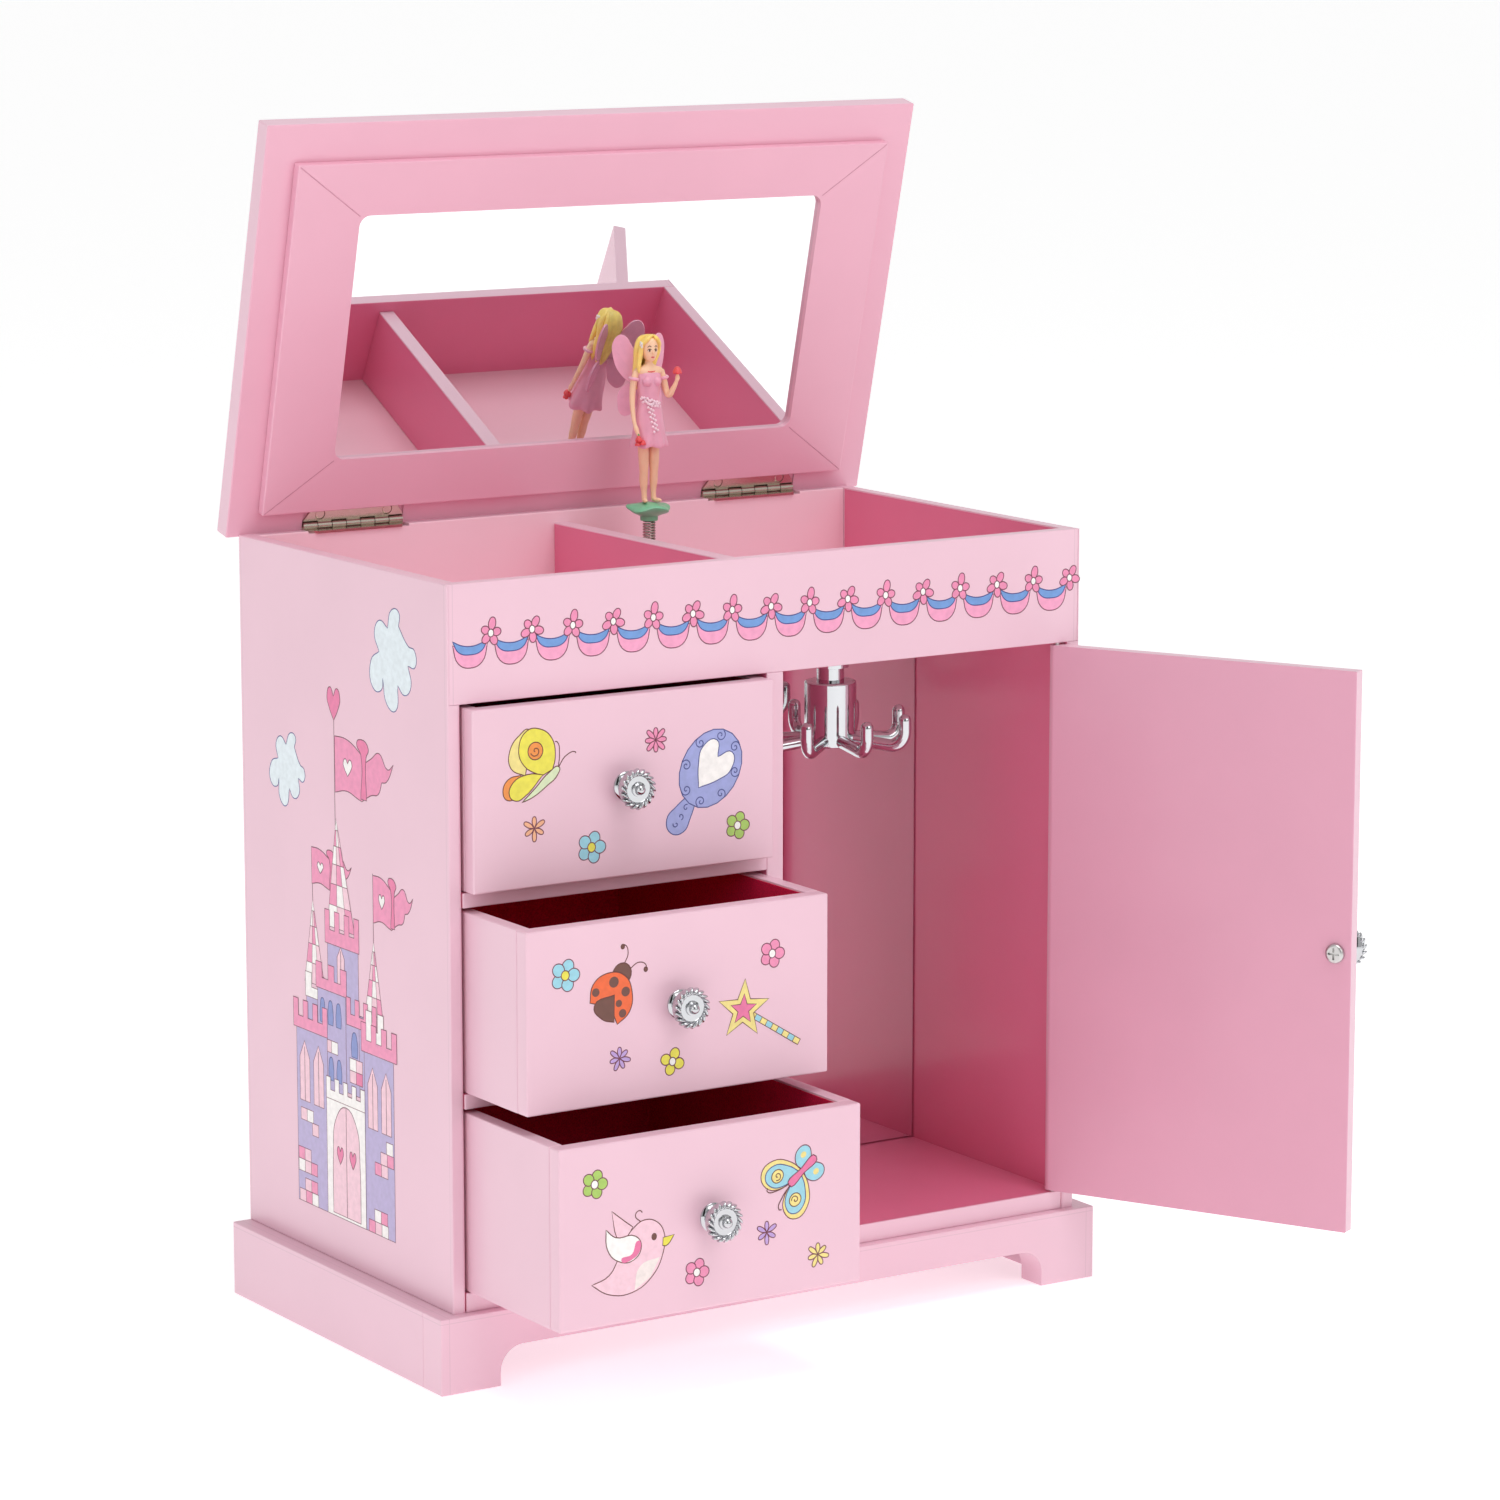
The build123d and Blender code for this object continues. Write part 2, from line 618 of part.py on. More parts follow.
figure += Pos(9.0, -5.2, shoulder + 0.4) * Sphere(2.0)
face_way = at_dancer * Rot(0, 0, dancer_facing)
pieces["dancer"] = face_way * figure
wings = []
for side in (-1, 1):
    wing = Rot(0, side * 22, 0) * Pos(0, 0, 9.5) * Rot(90, 0, 0) * extrude(Ellipse(4.0, 9.5), 0.8)
    wings.append(face_way * Pos(side * 1.0, 5.4, waist + 1) * wing)
pieces["dancer_wings"] = wings

# ---- Music movement -----------------------------------------------------------------------------
frame_left = partition_right + frame_plate_left_margin
frame_front = cabinet_back + frame_plate
gear_radius = gear_module * wheel_teeth / 2
governor_radius = gear_module * pinion_teeth / 2
gear_distance = gear_radius + governor_radius
governor_x = dancer_x + gear_distance * cos(radians(governor_angle))
governor_y = dancer_y + gear_distance * sin(radians(governor_angle))
drum_foot = fascia_foot - drum_foot_below_tray
drum_top = drum_foot + drum_length
gear_foot = fascia_foot - gear_foot_below_tray
mesh_z = fascia_foot - mesh_below_tray
wheel_radius = star_radius * wheel_pins / star_teeth
arbor_z = mesh_z - wheel_radius
frame_low, frame_high = fascia_foot - frame_foot_below_tray, fascia_foot - frame_top_below_tray
shaft_shoulder = frame_low + ear_thickness + 0.2
wheel_y = dancer_y + star_radius + great_wheel_clearance
barrel_y = wheel_y + great_wheel_thickness + barrel_wheel_gap


def toothed(teeth, pitch_radius, depth, tooth_width, foot, height):
    """A straight-toothed wheel: trapezoid teeth of the given width at the pitch circle."""
    corners = []
    root, tip = pitch_radius - depth, pitch_radius + depth * 0.85
    for index in range(teeth):
        middle = (index + 0.5) * 2 * pi / teeth
        for radius, width in ((root, 1.4), (tip, 0.6), (tip, -0.6), (root, -1.4)):
            angle = middle - width * tooth_width / 2 / radius
            corners.append((radius * cos(angle), radius * sin(angle)))
    return Pos(0, 0, foot) * extrude(make_face(Polyline(*corners, close=True)), height)


# The spindle carries the pin drum, the governor's drive wheel and the star pinion, all one unit.
star_foot = mesh_z - star_thickness / 2
spindle_top = spring_foot
cylinder = rod(spindle_radius, (0, 0, shaft_shoulder), (0, 0, spindle_top))
cylinder += rod(pivot_radius, (0, 0, frame_low), (0, 0, shaft_shoulder))
cylinder += rod(drum_radius, (0, 0, drum_foot), (0, 0, drum_top))
cylinder += toothed(wheel_teeth, gear_radius, gear_tooth_depth, gear_tooth_width, gear_foot, gear_thickness)
star = toothed(star_teeth, star_radius, star_tooth_depth, star_tooth_width, star_foot, star_thickness)
cylinder += Rot(0, 0, 90) * star
golden_turn = 137.5
for index in range(drum_pins):
    row = index % comb_teeth
    pin_z_at = drum_foot + (drum_length - (comb_teeth - 1) * comb_pitch) / 2 + row * comb_pitch
    turn = Rot(0, 0, index * golden_turn)
    cylinder += turn * rod(
        drum_pin_radius, (drum_radius - 0.4, 0, pin_z_at), (drum_radius + drum_pin_length, 0, pin_z_at)
    )
pieces["music_cylinder"] = at_dancer * cylinder

frame_span = (frame_left, frame_left + frame_plate_width)
plate = block(frame_span, (cabinet_back, frame_front), (frame_low, frame_high))
ear_x = (frame_left, dancer_x + drum_radius)
plate += block(ear_x, (frame_front - 0.1, governor_y + 3), (frame_low, frame_low + ear_thickness))
plate += block(
    (dancer_x - drum_radius, dancer_x + drum_radius), (frame_front - 0.1, dancer_y + 4),
    (frame_high - 2 * ear_thickness, frame_high - ear_thickness),
)
fly_foot = gear_foot + gear_thickness + fly_clearance
fly_ear = fly_foot + fly_height + fly_clearance
drum_left = dancer_x - drum_radius - drum_pin_length
fly_ear_x = (frame_left + 0.5, drum_left - 0.4)
plate += block(fly_ear_x, (frame_front - 0.1, governor_y + 3), (fly_ear, fly_ear + fly_ear_thickness))
comb_x = dancer_x + drum_radius + drum_pin_length + comb_tip_gap
comb_root = comb_x + comb_tooth_length
comb_y = (dancer_y - comb_thickness / 2, dancer_y + comb_thickness / 2)
comb_z = (drum_foot, drum_top)
plate += block((comb_root + 1, comb_root + comb_base_width), (frame_front - 0.1, comb_y[0]), comb_z)
pivot_bore = pivot_radius + pivot_clearance
plate -= at_dancer * rod(pivot_bore, (0, 0, frame_low), (0, 0, frame_low + ear_thickness))
plate -= at_dancer * rod(spindle_radius + spindle_clearance, (0, 0, frame_high - 9), (0, 0, frame_high))
at_governor = Pos(governor_x, governor_y, 0)
plate -= at_governor * rod(governor_shaft_radius + pivot_clearance, (0, 0, frame_low), (0, 0, fly_ear + 2))

governor = toothed(
    pinion_teeth, governor_radius, gear_tooth_depth, gear_tooth_width, gear_foot, gear_thickness
)
governor += rod(governor_shaft_radius, (0, 0, frame_low), (0, 0, fly_ear + fly_ear_thickness))
governor += Pos(0, 0, fly_foot + fly_height / 2) * Box(2 * fly_radius, fly_thickness, fly_height)
mesh_turn = governor_angle + 180 + 360 / pinion_teeth
pieces["governor"] = at_governor * Rot(0, 0, mesh_turn) * governor

comb = block((comb_x, comb_root + comb_base_width), comb_y, comb_z)
first_tooth = comb_z[0] + (drum_length - (comb_teeth - 1) * comb_pitch) / 2
for index in range(comb_teeth - 1):
    slot_z = first_tooth + (index + 0.5) * comb_pitch
    slot = (slot_z - comb_slot / 2, slot_z + comb_slot / 2)
    comb -= block((comb_x - 1, comb_root), (comb_y[0] - 1, comb_y[1] + 1), slot)


def movement_screw(length):
    """A cheese-head machine screw: head from z = 0 up, shank down."""
    screw = rod(movement_screw_head_radius, (0, 0, 0), (0, 0, movement_screw_head_height))
    screw -= Pos(0, 0, movement_screw_head_height) * Box(2 * movement_screw_head_radius + 1, 0.6, 1.0)
    return screw + rod(movement_screw_radius, (0, 0, -length), (0, 0, 0))


screws = []
corner = 4.0
mounting = [
    (x, frame_front, z, frame_plate + cabinet_back_board)
    for x in (frame_left + corner, frame_left + frame_plate_width - corner)
    for z in (frame_low + 2.5 * corner, frame_high - 3 * corner)
]
mounting += [
    (comb_root + 1 + (comb_base_width - 1) / 2, comb_y[1], z, comb_thickness + 6)
    for z in (comb_z[0] + corner, comb_z[1] - corner)
]
for x, y, z, length in mounting:
    seat = Pos(x, y, z) * Rot(-90, 0, 0)
    hole = seat * rod(movement_screw_radius, (0, 0, -length), (0, 0, 0))
    screws.append(seat * movement_screw(length))
    plate -= hole
    comb -= hole
    pieces["cabinet_back"] -= hole
pieces["movement_frame"] = plate
pieces["movement_screws"] = screws
pieces["comb"] = comb

# The great wheel turns on the winding arbor; its pins stand towards the star pinion.
star_tip_reach = dancer_y + star_radius - wheel_pin_depth
wheel_back = wheel_y + great_wheel_thickness
wheel = rod(wheel_radius + great_wheel_rim, (dancer_x, wheel_y, arbor_z), (dancer_x, wheel_back, arbor_z))
for index in range(wheel_pins):
    angle = index * 2 * pi / wheel_pins
    x, z = dancer_x + wheel_radius * sin(angle), arbor_z + wheel_radius * cos(angle)
    wheel += rod(wheel_pin_radius, (x, star_tip_reach, z), (x, wheel_y + 0.5, z))
arbor_bore = arbor_radius + arbor_clearance
wheel -= rod(arbor_bore, (dancer_x, wheel_y - 1, arbor_z), (dancer_x, wheel_back + 1, arbor_z))
pieces["great_wheel"] = wheel

at_arbor = Pos(dancer_x, 0, arbor_z) * Rot(-90, 0, 0)
barrel = rod(barrel_radius, (0, 0, barrel_y), (0, 0, back_inner))
barrel -= rod(barrel_radius - barrel_wall, (0, 0, barrel_y + barrel_wall), (0, 0, back_inner))
barrel -= rod(arbor_bore, (0, 0, barrel_y - 1), (0, 0, back_inner))
pieces["spring_barrel"] = at_arbor * barrel

spiral_in = arbor_radius + mainspring_room
spiral_out = barrel_radius - barrel_wall - mainspring_room


def spiral(offset):
    """Points along the mainspring's spiral, shifted outwards by the given offset."""
    steps = 24 * mainspring_turns
    points = []
    for step in range(steps + 1):
        radius = spiral_in + (spiral_out - mainspring_strip - spiral_in) * step / steps + offset
        angle = 2 * pi * mainspring_turns * step / steps
        points.append((radius * cos(angle), radius * sin(angle)))
    return points


strip = Polyline(*(spiral(0) + spiral(mainspring_strip)[::-1]), close=True)
strip_start = barrel_y + barrel_wall + mainspring_end_gap
strip_width = back_inner - mainspring_end_gap - strip_start
pieces["mainspring"] = at_arbor * Pos(0, 0, strip_start) * extrude(make_face(strip), strip_width)

key_start = back + key_gap
key = rod(arbor_radius, (0, 0, wheel_y - arbor_overrun), (0, 0, key_start))
key += rod(key_collar_radius, (0, 0, key_start), (0, 0, key_start + key_collar_length))
wing = Box(key_wing_width, key_wing_thickness, key_wing_length)
wing = fillet(wing.edges().filter_by(Axis.Y), key_wing_corner)
for side in (-1, 1):
    eye_x = side * key_wing_width / 4
    wing -= rod(key_eye_radius, (eye_x, -key_wing_thickness, 0), (eye_x, key_wing_thickness, 0))
key += Pos(0, 0, key_start + key_collar_length + key_wing_length / 2 - 1) * wing
pieces["winding_key"] = at_arbor * key
arbor_hole = ((dancer_x, back_inner - 1, arbor_z), (dancer_x, back + 1, arbor_z))
pieces["back_panel"] -= rod(arbor_hole_radius, *arbor_hole)

# ---- Files --------------------------------------------------------------------------------------
os.makedirs("parts", exist_ok=True)
for name, piece in pieces.items():
    if isinstance(piece, list):
        solids = [solid for entry in piece for solid in entry.solids()]
        piece = Compound(children=solids)
    export_step(piece, f"parts/{name}.step")
print(len(pieces), "pieces written")
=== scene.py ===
"""Ballerina jewellery box: papered board case, mirror lid, three drawers, a side door over a
necklace carousel, and a doll that turns on a coil spring. Metres, in the case's own frame.
"""
import bpy
import json
from math import cos, degrees, hypot, pi, radians, sin
from mathutils import Matrix, Vector


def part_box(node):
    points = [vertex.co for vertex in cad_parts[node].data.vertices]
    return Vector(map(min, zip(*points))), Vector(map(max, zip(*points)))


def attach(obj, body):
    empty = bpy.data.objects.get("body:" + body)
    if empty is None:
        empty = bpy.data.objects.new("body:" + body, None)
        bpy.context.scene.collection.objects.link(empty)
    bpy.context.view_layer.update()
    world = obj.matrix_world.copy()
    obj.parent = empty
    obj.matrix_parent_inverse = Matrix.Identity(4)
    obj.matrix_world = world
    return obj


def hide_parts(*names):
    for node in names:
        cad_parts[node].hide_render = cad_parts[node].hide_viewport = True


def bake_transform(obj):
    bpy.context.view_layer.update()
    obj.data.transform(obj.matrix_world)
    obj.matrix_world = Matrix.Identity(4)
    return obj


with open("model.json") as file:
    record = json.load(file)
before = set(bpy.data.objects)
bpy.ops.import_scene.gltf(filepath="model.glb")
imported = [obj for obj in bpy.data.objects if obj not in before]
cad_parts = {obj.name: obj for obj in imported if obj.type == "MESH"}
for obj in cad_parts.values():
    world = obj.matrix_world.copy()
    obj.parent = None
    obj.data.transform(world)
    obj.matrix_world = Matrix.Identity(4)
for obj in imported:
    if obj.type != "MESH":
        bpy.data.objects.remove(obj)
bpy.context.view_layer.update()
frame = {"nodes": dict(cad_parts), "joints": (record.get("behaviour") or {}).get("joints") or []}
nodes = frame["nodes"]
mm = 0.001
bpy.context.scene.view_settings.view_transform = "Standard"

# ---- Camera --------------------------------------------------------------------------------------
# A long portrait lens on a tripod a little above the lid's hinges, off the box's left front
# corner, so that the front and the printed left side both show.
camera_data = bpy.data.cameras.new("camera")
camera_data.lens = 124.8
look_down = 10.04
look_right = 32.97
camera = bpy.data.objects.new("camera", camera_data)
bpy.context.collection.objects.link(camera)
camera.location = (-0.9337, -1.5665, 0.5020)
camera.rotation_euler = (radians(90 - look_down), 0, radians(-look_right))
bpy.context.scene.camera = camera

# ---- Studio light and floor ----------------------------------------------------------------------
# A white sweep in a pale room with soft boxes in front and above: no hard shadow falls, and the
# room's few dark upright strips give chrome something to show.


def linear(code):
    """A linear colour from an sRGB hex value."""
    parts = [int(code[i:i + 2], 16) / 255 for i in (0, 2, 4)]
    return tuple(p / 12.92 if p <= 0.04045 else ((p + 0.055) / 1.055) ** 2.4 for p in parts) + (1,)


def add_node(tree, kind, inputs=(), **settings):
    """Add a node to a tree, with its settings, and its inputs set or linked."""
    node = tree.nodes.new("ShaderNode" + kind)
    for name, value in settings.items():
        setattr(node, name, value)
    for socket, value in dict(inputs).items():
        if isinstance(value, bpy.types.NodeSocket):
            tree.links.new(value, node.inputs[socket])
        else:
            node.inputs[socket].default_value = value
    return node


room = bpy.data.worlds.new("pale_room")
bpy.context.scene.world = room
room.use_nodes = True
tree = room.node_tree
tree.nodes.clear()
toward = add_node(tree, "SeparateXYZ", {0: add_node(tree, "TexCoord").outputs["Generated"]})
bearing = add_node(tree, "Math", {0: toward.outputs["Y"], 1: toward.outputs["X"]}, operation="ARCTAN2")
strips = 0.0
for strip_bearing, half_width in ((-0.62, 0.05), (-2.13, 0.17), (-1.28, 0.035), (2.2, 0.08)):
    strip = add_node(
        tree, "Math", {0: bearing.outputs[0], 1: strip_bearing, 2: half_width}, operation="COMPARE"
    )
    strips = add_node(tree, "Math", {0: strip.outputs[0], 1: strips}, operation="MAXIMUM").outputs[0]
below_ceiling = add_node(tree, "Math", {0: toward.outputs["Z"], 1: 0.75}, operation="LESS_THAN")
strips = add_node(tree, "Math", {0: strips, 1: below_ceiling.outputs[0]}, operation="MULTIPLY").outputs[0]
wall = add_node(tree, "MapRange", {0: strips, 1: 0, 2: 1, 3: 1.0, 4: 0.04})
light = add_node(tree, "Background", {"Color": wall.outputs[0], "Strength": 0.60})
add_node(tree, "OutputWorld", {"Surface": light.outputs[0]})


def soft_box(name, place, size, watts):
    """A square soft light that points at the middle of the case."""
    data = bpy.data.lights.new(name, "AREA")
    data.size = size
    data.energy = watts
    lamp = bpy.data.objects.new(name, data)
    bpy.context.collection.objects.link(lamp)
    lamp.location = place
    aim = Vector((0, -0.07, 0.15)) - Vector(place)
    lamp.rotation_euler = aim.to_track_quat("-Z", "Y").to_euler()


soft_box("front_soft_box", (0.25, -1.9, 1.15), 1.0, 4.5)
soft_box("left_soft_box", (-1.9, -0.7, 0.9), 1.0, 3.4)
soft_box("top_soft_box", (0.05, -0.7, 1.95), 1.0, 11)

bpy.ops.object.select_all(action="DESELECT")
bpy.ops.mesh.primitive_plane_add(size=80, location=(0, 0, -0.0002))
floor = bpy.context.object
floor.name = "white_floor"
sweep = bpy.data.materials.new("matt_white_sweep")
sweep.use_nodes = True
sweep_shader = sweep.node_tree.nodes["Principled BSDF"]
sweep_shader.inputs["Base Color"].default_value = linear("fdfdfd")
sweep_shader.inputs["Roughness"].default_value = 0.8
sweep_shader.inputs["Emission Color"].default_value = (1, 1, 1, 1)
sweep_shader.inputs["Emission Strength"].default_value = 0.42
floor.data.materials.append(sweep)

# ---- Papered case boards -------------------------------------------------------------------------
# Every board is grey chipboard wrapped in printed art paper with a gloss film. The paper is pale
# pink outside; the lining of the tray walls and the necklace cabinet is a deeper rose, except the
# tray's back wall, which is painted paler than the paper as painted light for the light that the
# lid's mirror throws into the tray.


def shader_of(name, colour, roughness, **sockets):
    """A new material, its node tree and its shader, with constant values on the shader."""
    material = bpy.data.materials.new(name)
    material.use_nodes = True
    shader = material.node_tree.nodes["Principled BSDF"]
    shader.inputs["Base Color"].default_value = linear(colour)
    shader.inputs["Roughness"].default_value = roughness
    for socket, value in sockets.items():
        shader.inputs[socket.replace("_", " ")].default_value = value
    return material, material.node_tree, shader


paper_tooth = 1 / (0.5 * mm)
film_ripple = 1 / (9 * mm)
paper_cloud = 1 / (40 * mm)
film_ior = 1.5
outer_pink = "eec5d4"
inner_pink = "eeb2c6"
lining_rose = "ea7c9f"
# painted light: the tray's back wall is painted paler than its paper, for the light the lid's mirror throws
# into it
painted_light_back_pink = "fdd5e1"
tray_pink = "f6c4d2"
corner_line = 0.16 * mm


def paper_relief(tree, shader, where):
    """The film's slow ripple and the paper's fine tooth, drawn a little coarser to show."""
    ripple = add_node(tree, "TexNoise", {"Vector": where, "Scale": film_ripple, "Detail": 1.5})
    tooth = add_node(tree, "TexNoise", {"Vector": where, "Scale": paper_tooth, "Detail": 2.0})
    relief = add_node(
        tree, "Math", {0: tooth.outputs[0], 1: 0.02, 2: ripple.outputs[0]}, operation="MULTIPLY_ADD"
    )
    bump = add_node(tree, "Bump", {"Height": relief.outputs[0], "Strength": 0.5, "Distance": 0.05 * mm})
    tree.links.new(bump.outputs[0], shader.inputs["Normal"])


def art_paper(name, outside, inside, region=None, inward=None, seams=()):
    """Gloss-laminated paper: one colour outside, another in a region or on faces turned inward.

    region is a low and a high corner, inward a direction, and seams are (axis, place) pairs
    where the wrap's overlap shows as a faint line.
    """
    material, tree, shader = shader_of(name, outside, 0.36, IOR=film_ior, Coat_Weight=0.25,
                                       Coat_Roughness=0.12)
    coordinates = add_node(tree, "TexCoord")
    where = coordinates.outputs["Object"]
    paper_relief(tree, shader, where)
    cloud = add_node(tree, "TexNoise", {"Vector": where, "Scale": paper_cloud, "Detail": 3.0})
    tone = add_node(tree, "MapRange", {0: cloud.outputs[0], 1: 0.3, 2: 0.7, 3: 0.985, 4: 1.015})
    mask = 0.0
    split = add_node(tree, "SeparateXYZ", {0: where})
    if region:
        mask = 1.0
        for axis, low, high in zip("XYZ", *region):
            middle, half = (low + high) / 2, (high - low) / 2
            within = add_node(
                tree, "Math", {0: split.outputs[axis], 1: middle, 2: half}, operation="COMPARE"
            )
            mask = add_node(tree, "Math", {0: within.outputs[0], 1: mask}, operation="MULTIPLY").outputs[0]
    if inward:
        turned_in = add_node(
            tree, "VectorMath", {0: coordinates.outputs["Normal"], 1: inward}, operation="DOT_PRODUCT"
        )
        mask = add_node(
            tree, "Math", {0: turned_in.outputs["Value"], 1: 0.5}, operation="GREATER_THAN"
        ).outputs[0]
    paper = add_node(tree, "Mix", {"Factor": mask, "A": linear(outside), "B": linear(inside)},
                     data_type="RGBA")
    lines = 0.0
    for axis, place in seams:
        line = add_node(
            tree, "Math", {0: split.outputs[axis], 1: place, 2: corner_line}, operation="COMPARE"
        )
        lines = add_node(tree, "Math", {0: line.outputs[0], 1: lines}, operation="MAXIMUM").outputs[0]
    fade = add_node(tree, "Math", {0: lines, 1: -0.1, 2: tone.outputs[0]}, operation="MULTIPLY_ADD")
    colour = add_node(
        tree, "VectorMath", {0: paper.outputs["Result"], "Scale": fade.outputs[0]}, operation="SCALE"
    )
    tree.links.new(colour.outputs[0], shader.inputs["Base Color"])
    return material


def finish(material, *names):
    """Give a material to CAD pieces in every slot they have."""
    for name in names:
        mesh = nodes[name].data
        mesh.materials.clear()
        mesh.materials.append(material)


left_low, left_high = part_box("side_panel_left")
right_low, right_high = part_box("side_panel_right")
fascia_low, fascia_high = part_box("fascia")
back_low, back_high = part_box("back_panel")
skin = 0.5 * mm
cabinet_region = (
    (left_low[0] + skin, left_low[1] + skin, left_low[2] + skin),
    (right_high[0] - skin, back_low[1] - skin, left_high[2] - skin),
)
front_edge = left_low[1]
wrap = 1.6 * mm
side_paper = art_paper(
    "gloss_laminated_pink_art_paper_sides", outer_pink, lining_rose, region=cabinet_region,
    seams=(("Y", front_edge + wrap), ("Y", back_high[1] - wrap)),
)
finish(side_paper, "side_panel_left", "side_panel_right", "partition", "shelf_upper", "shelf_lower",
       "bottom_board", "cabinet_back")
divider_low, divider_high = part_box("tray_divider")
divider_region = (
    (divider_low[0] - skin, divider_low[1] - skin, divider_low[2] - skin),
    (divider_high[0] + skin, divider_high[1] + skin, divider_high[2] - skin),
)
finish(art_paper("gloss_laminated_rose_art_paper_divider", outer_pink, lining_rose, region=divider_region),
       "tray_divider")
finish(art_paper("gloss_laminated_pink_art_paper_fascia", outer_pink, lining_rose, inward=(0, 1, 0),
                 seams=(("X", fascia_low[0] + wrap), ("X", fascia_high[0] - wrap))), "fascia")
# The back panel's inward face is painted paler than its paper: painted light for the light that the lid's
# mirror throws into the tray.
finish(art_paper("gloss_laminated_pink_art_paper_back_and_painted_light", outer_pink, painted_light_back_pink, inward=(0, -1, 0)),
       "back_panel")
finish(art_paper("gloss_laminated_pink_art_paper_tray", tray_pink, tray_pink), "tray_floor")

# ---- Plinth --------------------------------------------------------------------------------------
# Four thicker rails under the case, glued at the corners and wrapped in the same pale paper; the
# overlap of the wrap shows a little in from each corner.
plinth_low, plinth_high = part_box("plinth_front")
plinth_paper = art_paper(
    "gloss_laminated_pink_art_paper_plinth", outer_pink, outer_pink,
    seams=(("X", plinth_low[0] + 2 * wrap), ("X", plinth_high[0] - 2 * wrap), ("Z", plinth_high[2] - wrap)),
)
finish(plinth_paper, "plinth_front", "plinth_left", "plinth_right", "plinth_back")

# ---- Lid, its frame and the door -----------------------------------------------------------------
# The lid board is papered pale pink on top and mid pink underneath; the frame round its mirror is
# one die-cut board in the mid pink. The door is papered like the front, mid pink on the inside.
hinge = {joint["name"]: joint for joint in frame["joints"]}
lid_angle = radians(hinge["lid_hinge"]["range_deg"][1])
lid_down = (0, -sin(lid_angle), -cos(lid_angle))
finish(art_paper("gloss_laminated_pink_art_paper_lid", outer_pink, inner_pink, inward=lid_down),
       "lid_board")
finish(art_paper("gloss_laminated_mid_pink_art_paper_frame", inner_pink, inner_pink), "lid_frame")
door_angle = radians(-hinge["door_hinge"]["range_deg"][0])
door_in = (-sin(door_angle), cos(door_angle), 0)
door_pink = "e2a2b9"
finish(art_paper("gloss_laminated_pink_art_paper_door", outer_pink, door_pink, inward=door_in),
       "door_panel")

# ---- Printed garland on the fascia ---------------------------------------------------------------
# The art paper is printed before it is laminated: flat inks with a thin mauve key line. A row of
# small flowers holds up blue and pink swags along the top board. Panel sizes below are in mm.
ink_colours = {
    "blossom_pink": "f08fb6", "deep_pink": "ea74a3", "blush": "f6cbd8", "paper_white": "fbf7f4",
    "swag_blue": "6f9bd8", "swag_pink": "f5a3c6", "sky": "9ad4e4", "sun": "ece14a", "straw": "f3e08a",
    "orange": "f0923f", "ladybird": "f0652c", "cocoa": "6d4034", "leaf_green": "a9cc5f",
    "pale_leaf": "dbe6bd", "peach": "f4b58c", "lilac": "c3a3dc", "looking_glass": "9fa6dc",
    "wall_violet": "b8aad4", "window_blue": "7d8cc9", "cloud": "e4eef3", "cream": "f3e6e2",
    "key_mauve": "7e3f52", "key_blue": "454c92", "key_brown": "6e3b34",
}
inks = {}
key_width = 0.34
ink_step = 0.012
ink_start = 0.006
brush_grain = 1 / (2.2 * mm)


def uneven(tree, shader, pattern, colour, least, most, low=0.3, high=0.7):
    """Let a pattern make a colour a little deeper and paler, by the least and most factors."""
    tone = add_node(tree, "MapRange", {0: pattern.outputs[0], 1: low, 2: high, 3: least, 4: most})
    mixed = add_node(tree, "VectorMath", {0: linear(colour)[:3], "Scale": tone.outputs[0]},
                     operation="SCALE")
    tree.links.new(mixed.outputs[0], shader.inputs["Base Color"])


def ink(name):
    """One printed colour, slightly uneven like a scanned watercolour, under the same gloss film."""
    if name not in inks:
        material, tree, shader = shader_of(f"printed_ink_{name}", ink_colours[name], 0.36, IOR=film_ior,
                                           Coat_Weight=0.25, Coat_Roughness=0.12)
        where = add_node(tree, "TexCoord").outputs["Object"]
        wash = add_node(tree, "TexNoise", {"Vector": where, "Scale": brush_grain, "Detail": 3.0})
        uneven(tree, shader, wash, ink_colours[name], 0.93, 1.06)
        inks[name] = material
    return inks[name]


def moved(points, x=0.0, y=0.0, turn=0.0, size=1.0):
    """An outline scaled, turned by degrees and moved; a third value marks a sharp corner."""
    c, s = cos(radians(turn)) * size, sin(radians(turn)) * size
    return [(x + c * p[0] - s * p[1], y + s * p[0] + c * p[1], *p[2:]) for p in points]


def oval(width, height):
    """Four points that a smooth outline rounds into an oval."""
    return [(width / 2, 0), (0, height / 2), (-width / 2, 0), (0, -height / 2)]


def petal(length, width):
    """A petal from the flower's middle up."""
    return [(0, 0, 1), (width / 2, length * 0.6), (0, length), (-width / 2, length * 0.6)]


def corners(*points):
    """An outline or a line with a sharp corner at every point."""
    return [(x, y, 1) for x, y in points]


def box_outline(x0, x1, y0, y1, lean=0.0):
    """Four corners of a box, its right end raised by the lean."""
    return corners((x0, y0), (x1, y0 + lean), (x1, y1 + lean), (x0, y1))


def marks_moved(marks, **place):
    """Printed marks scaled, turned and moved together."""
    return [(fill, key, closed, moved(points, **place)) for fill, key, closed, points in marks]


def area(fill, points, key="key_mauve"):
    """A filled shape with a key line round it."""
    return (fill, key, True, points)


def stroke(points, key="key_mauve"):
    """An open key line."""
    return (None, key, False, points)


def flower(fill, eye, lengths, width, eye_size=(2.1, 2.5), first=90.0, key="key_mauve"):
    """A flower with one petal for each length, evenly turned, and an oval eye."""
    step = 360 / len(lengths)
    marks = [
        area(fill, moved(petal(length, width), turn=first - 90 + place * step), key)
        for place, length in enumerate(lengths)
    ]
    if eye:
        marks.append(area(eye, oval(*eye_size), key))
    return marks


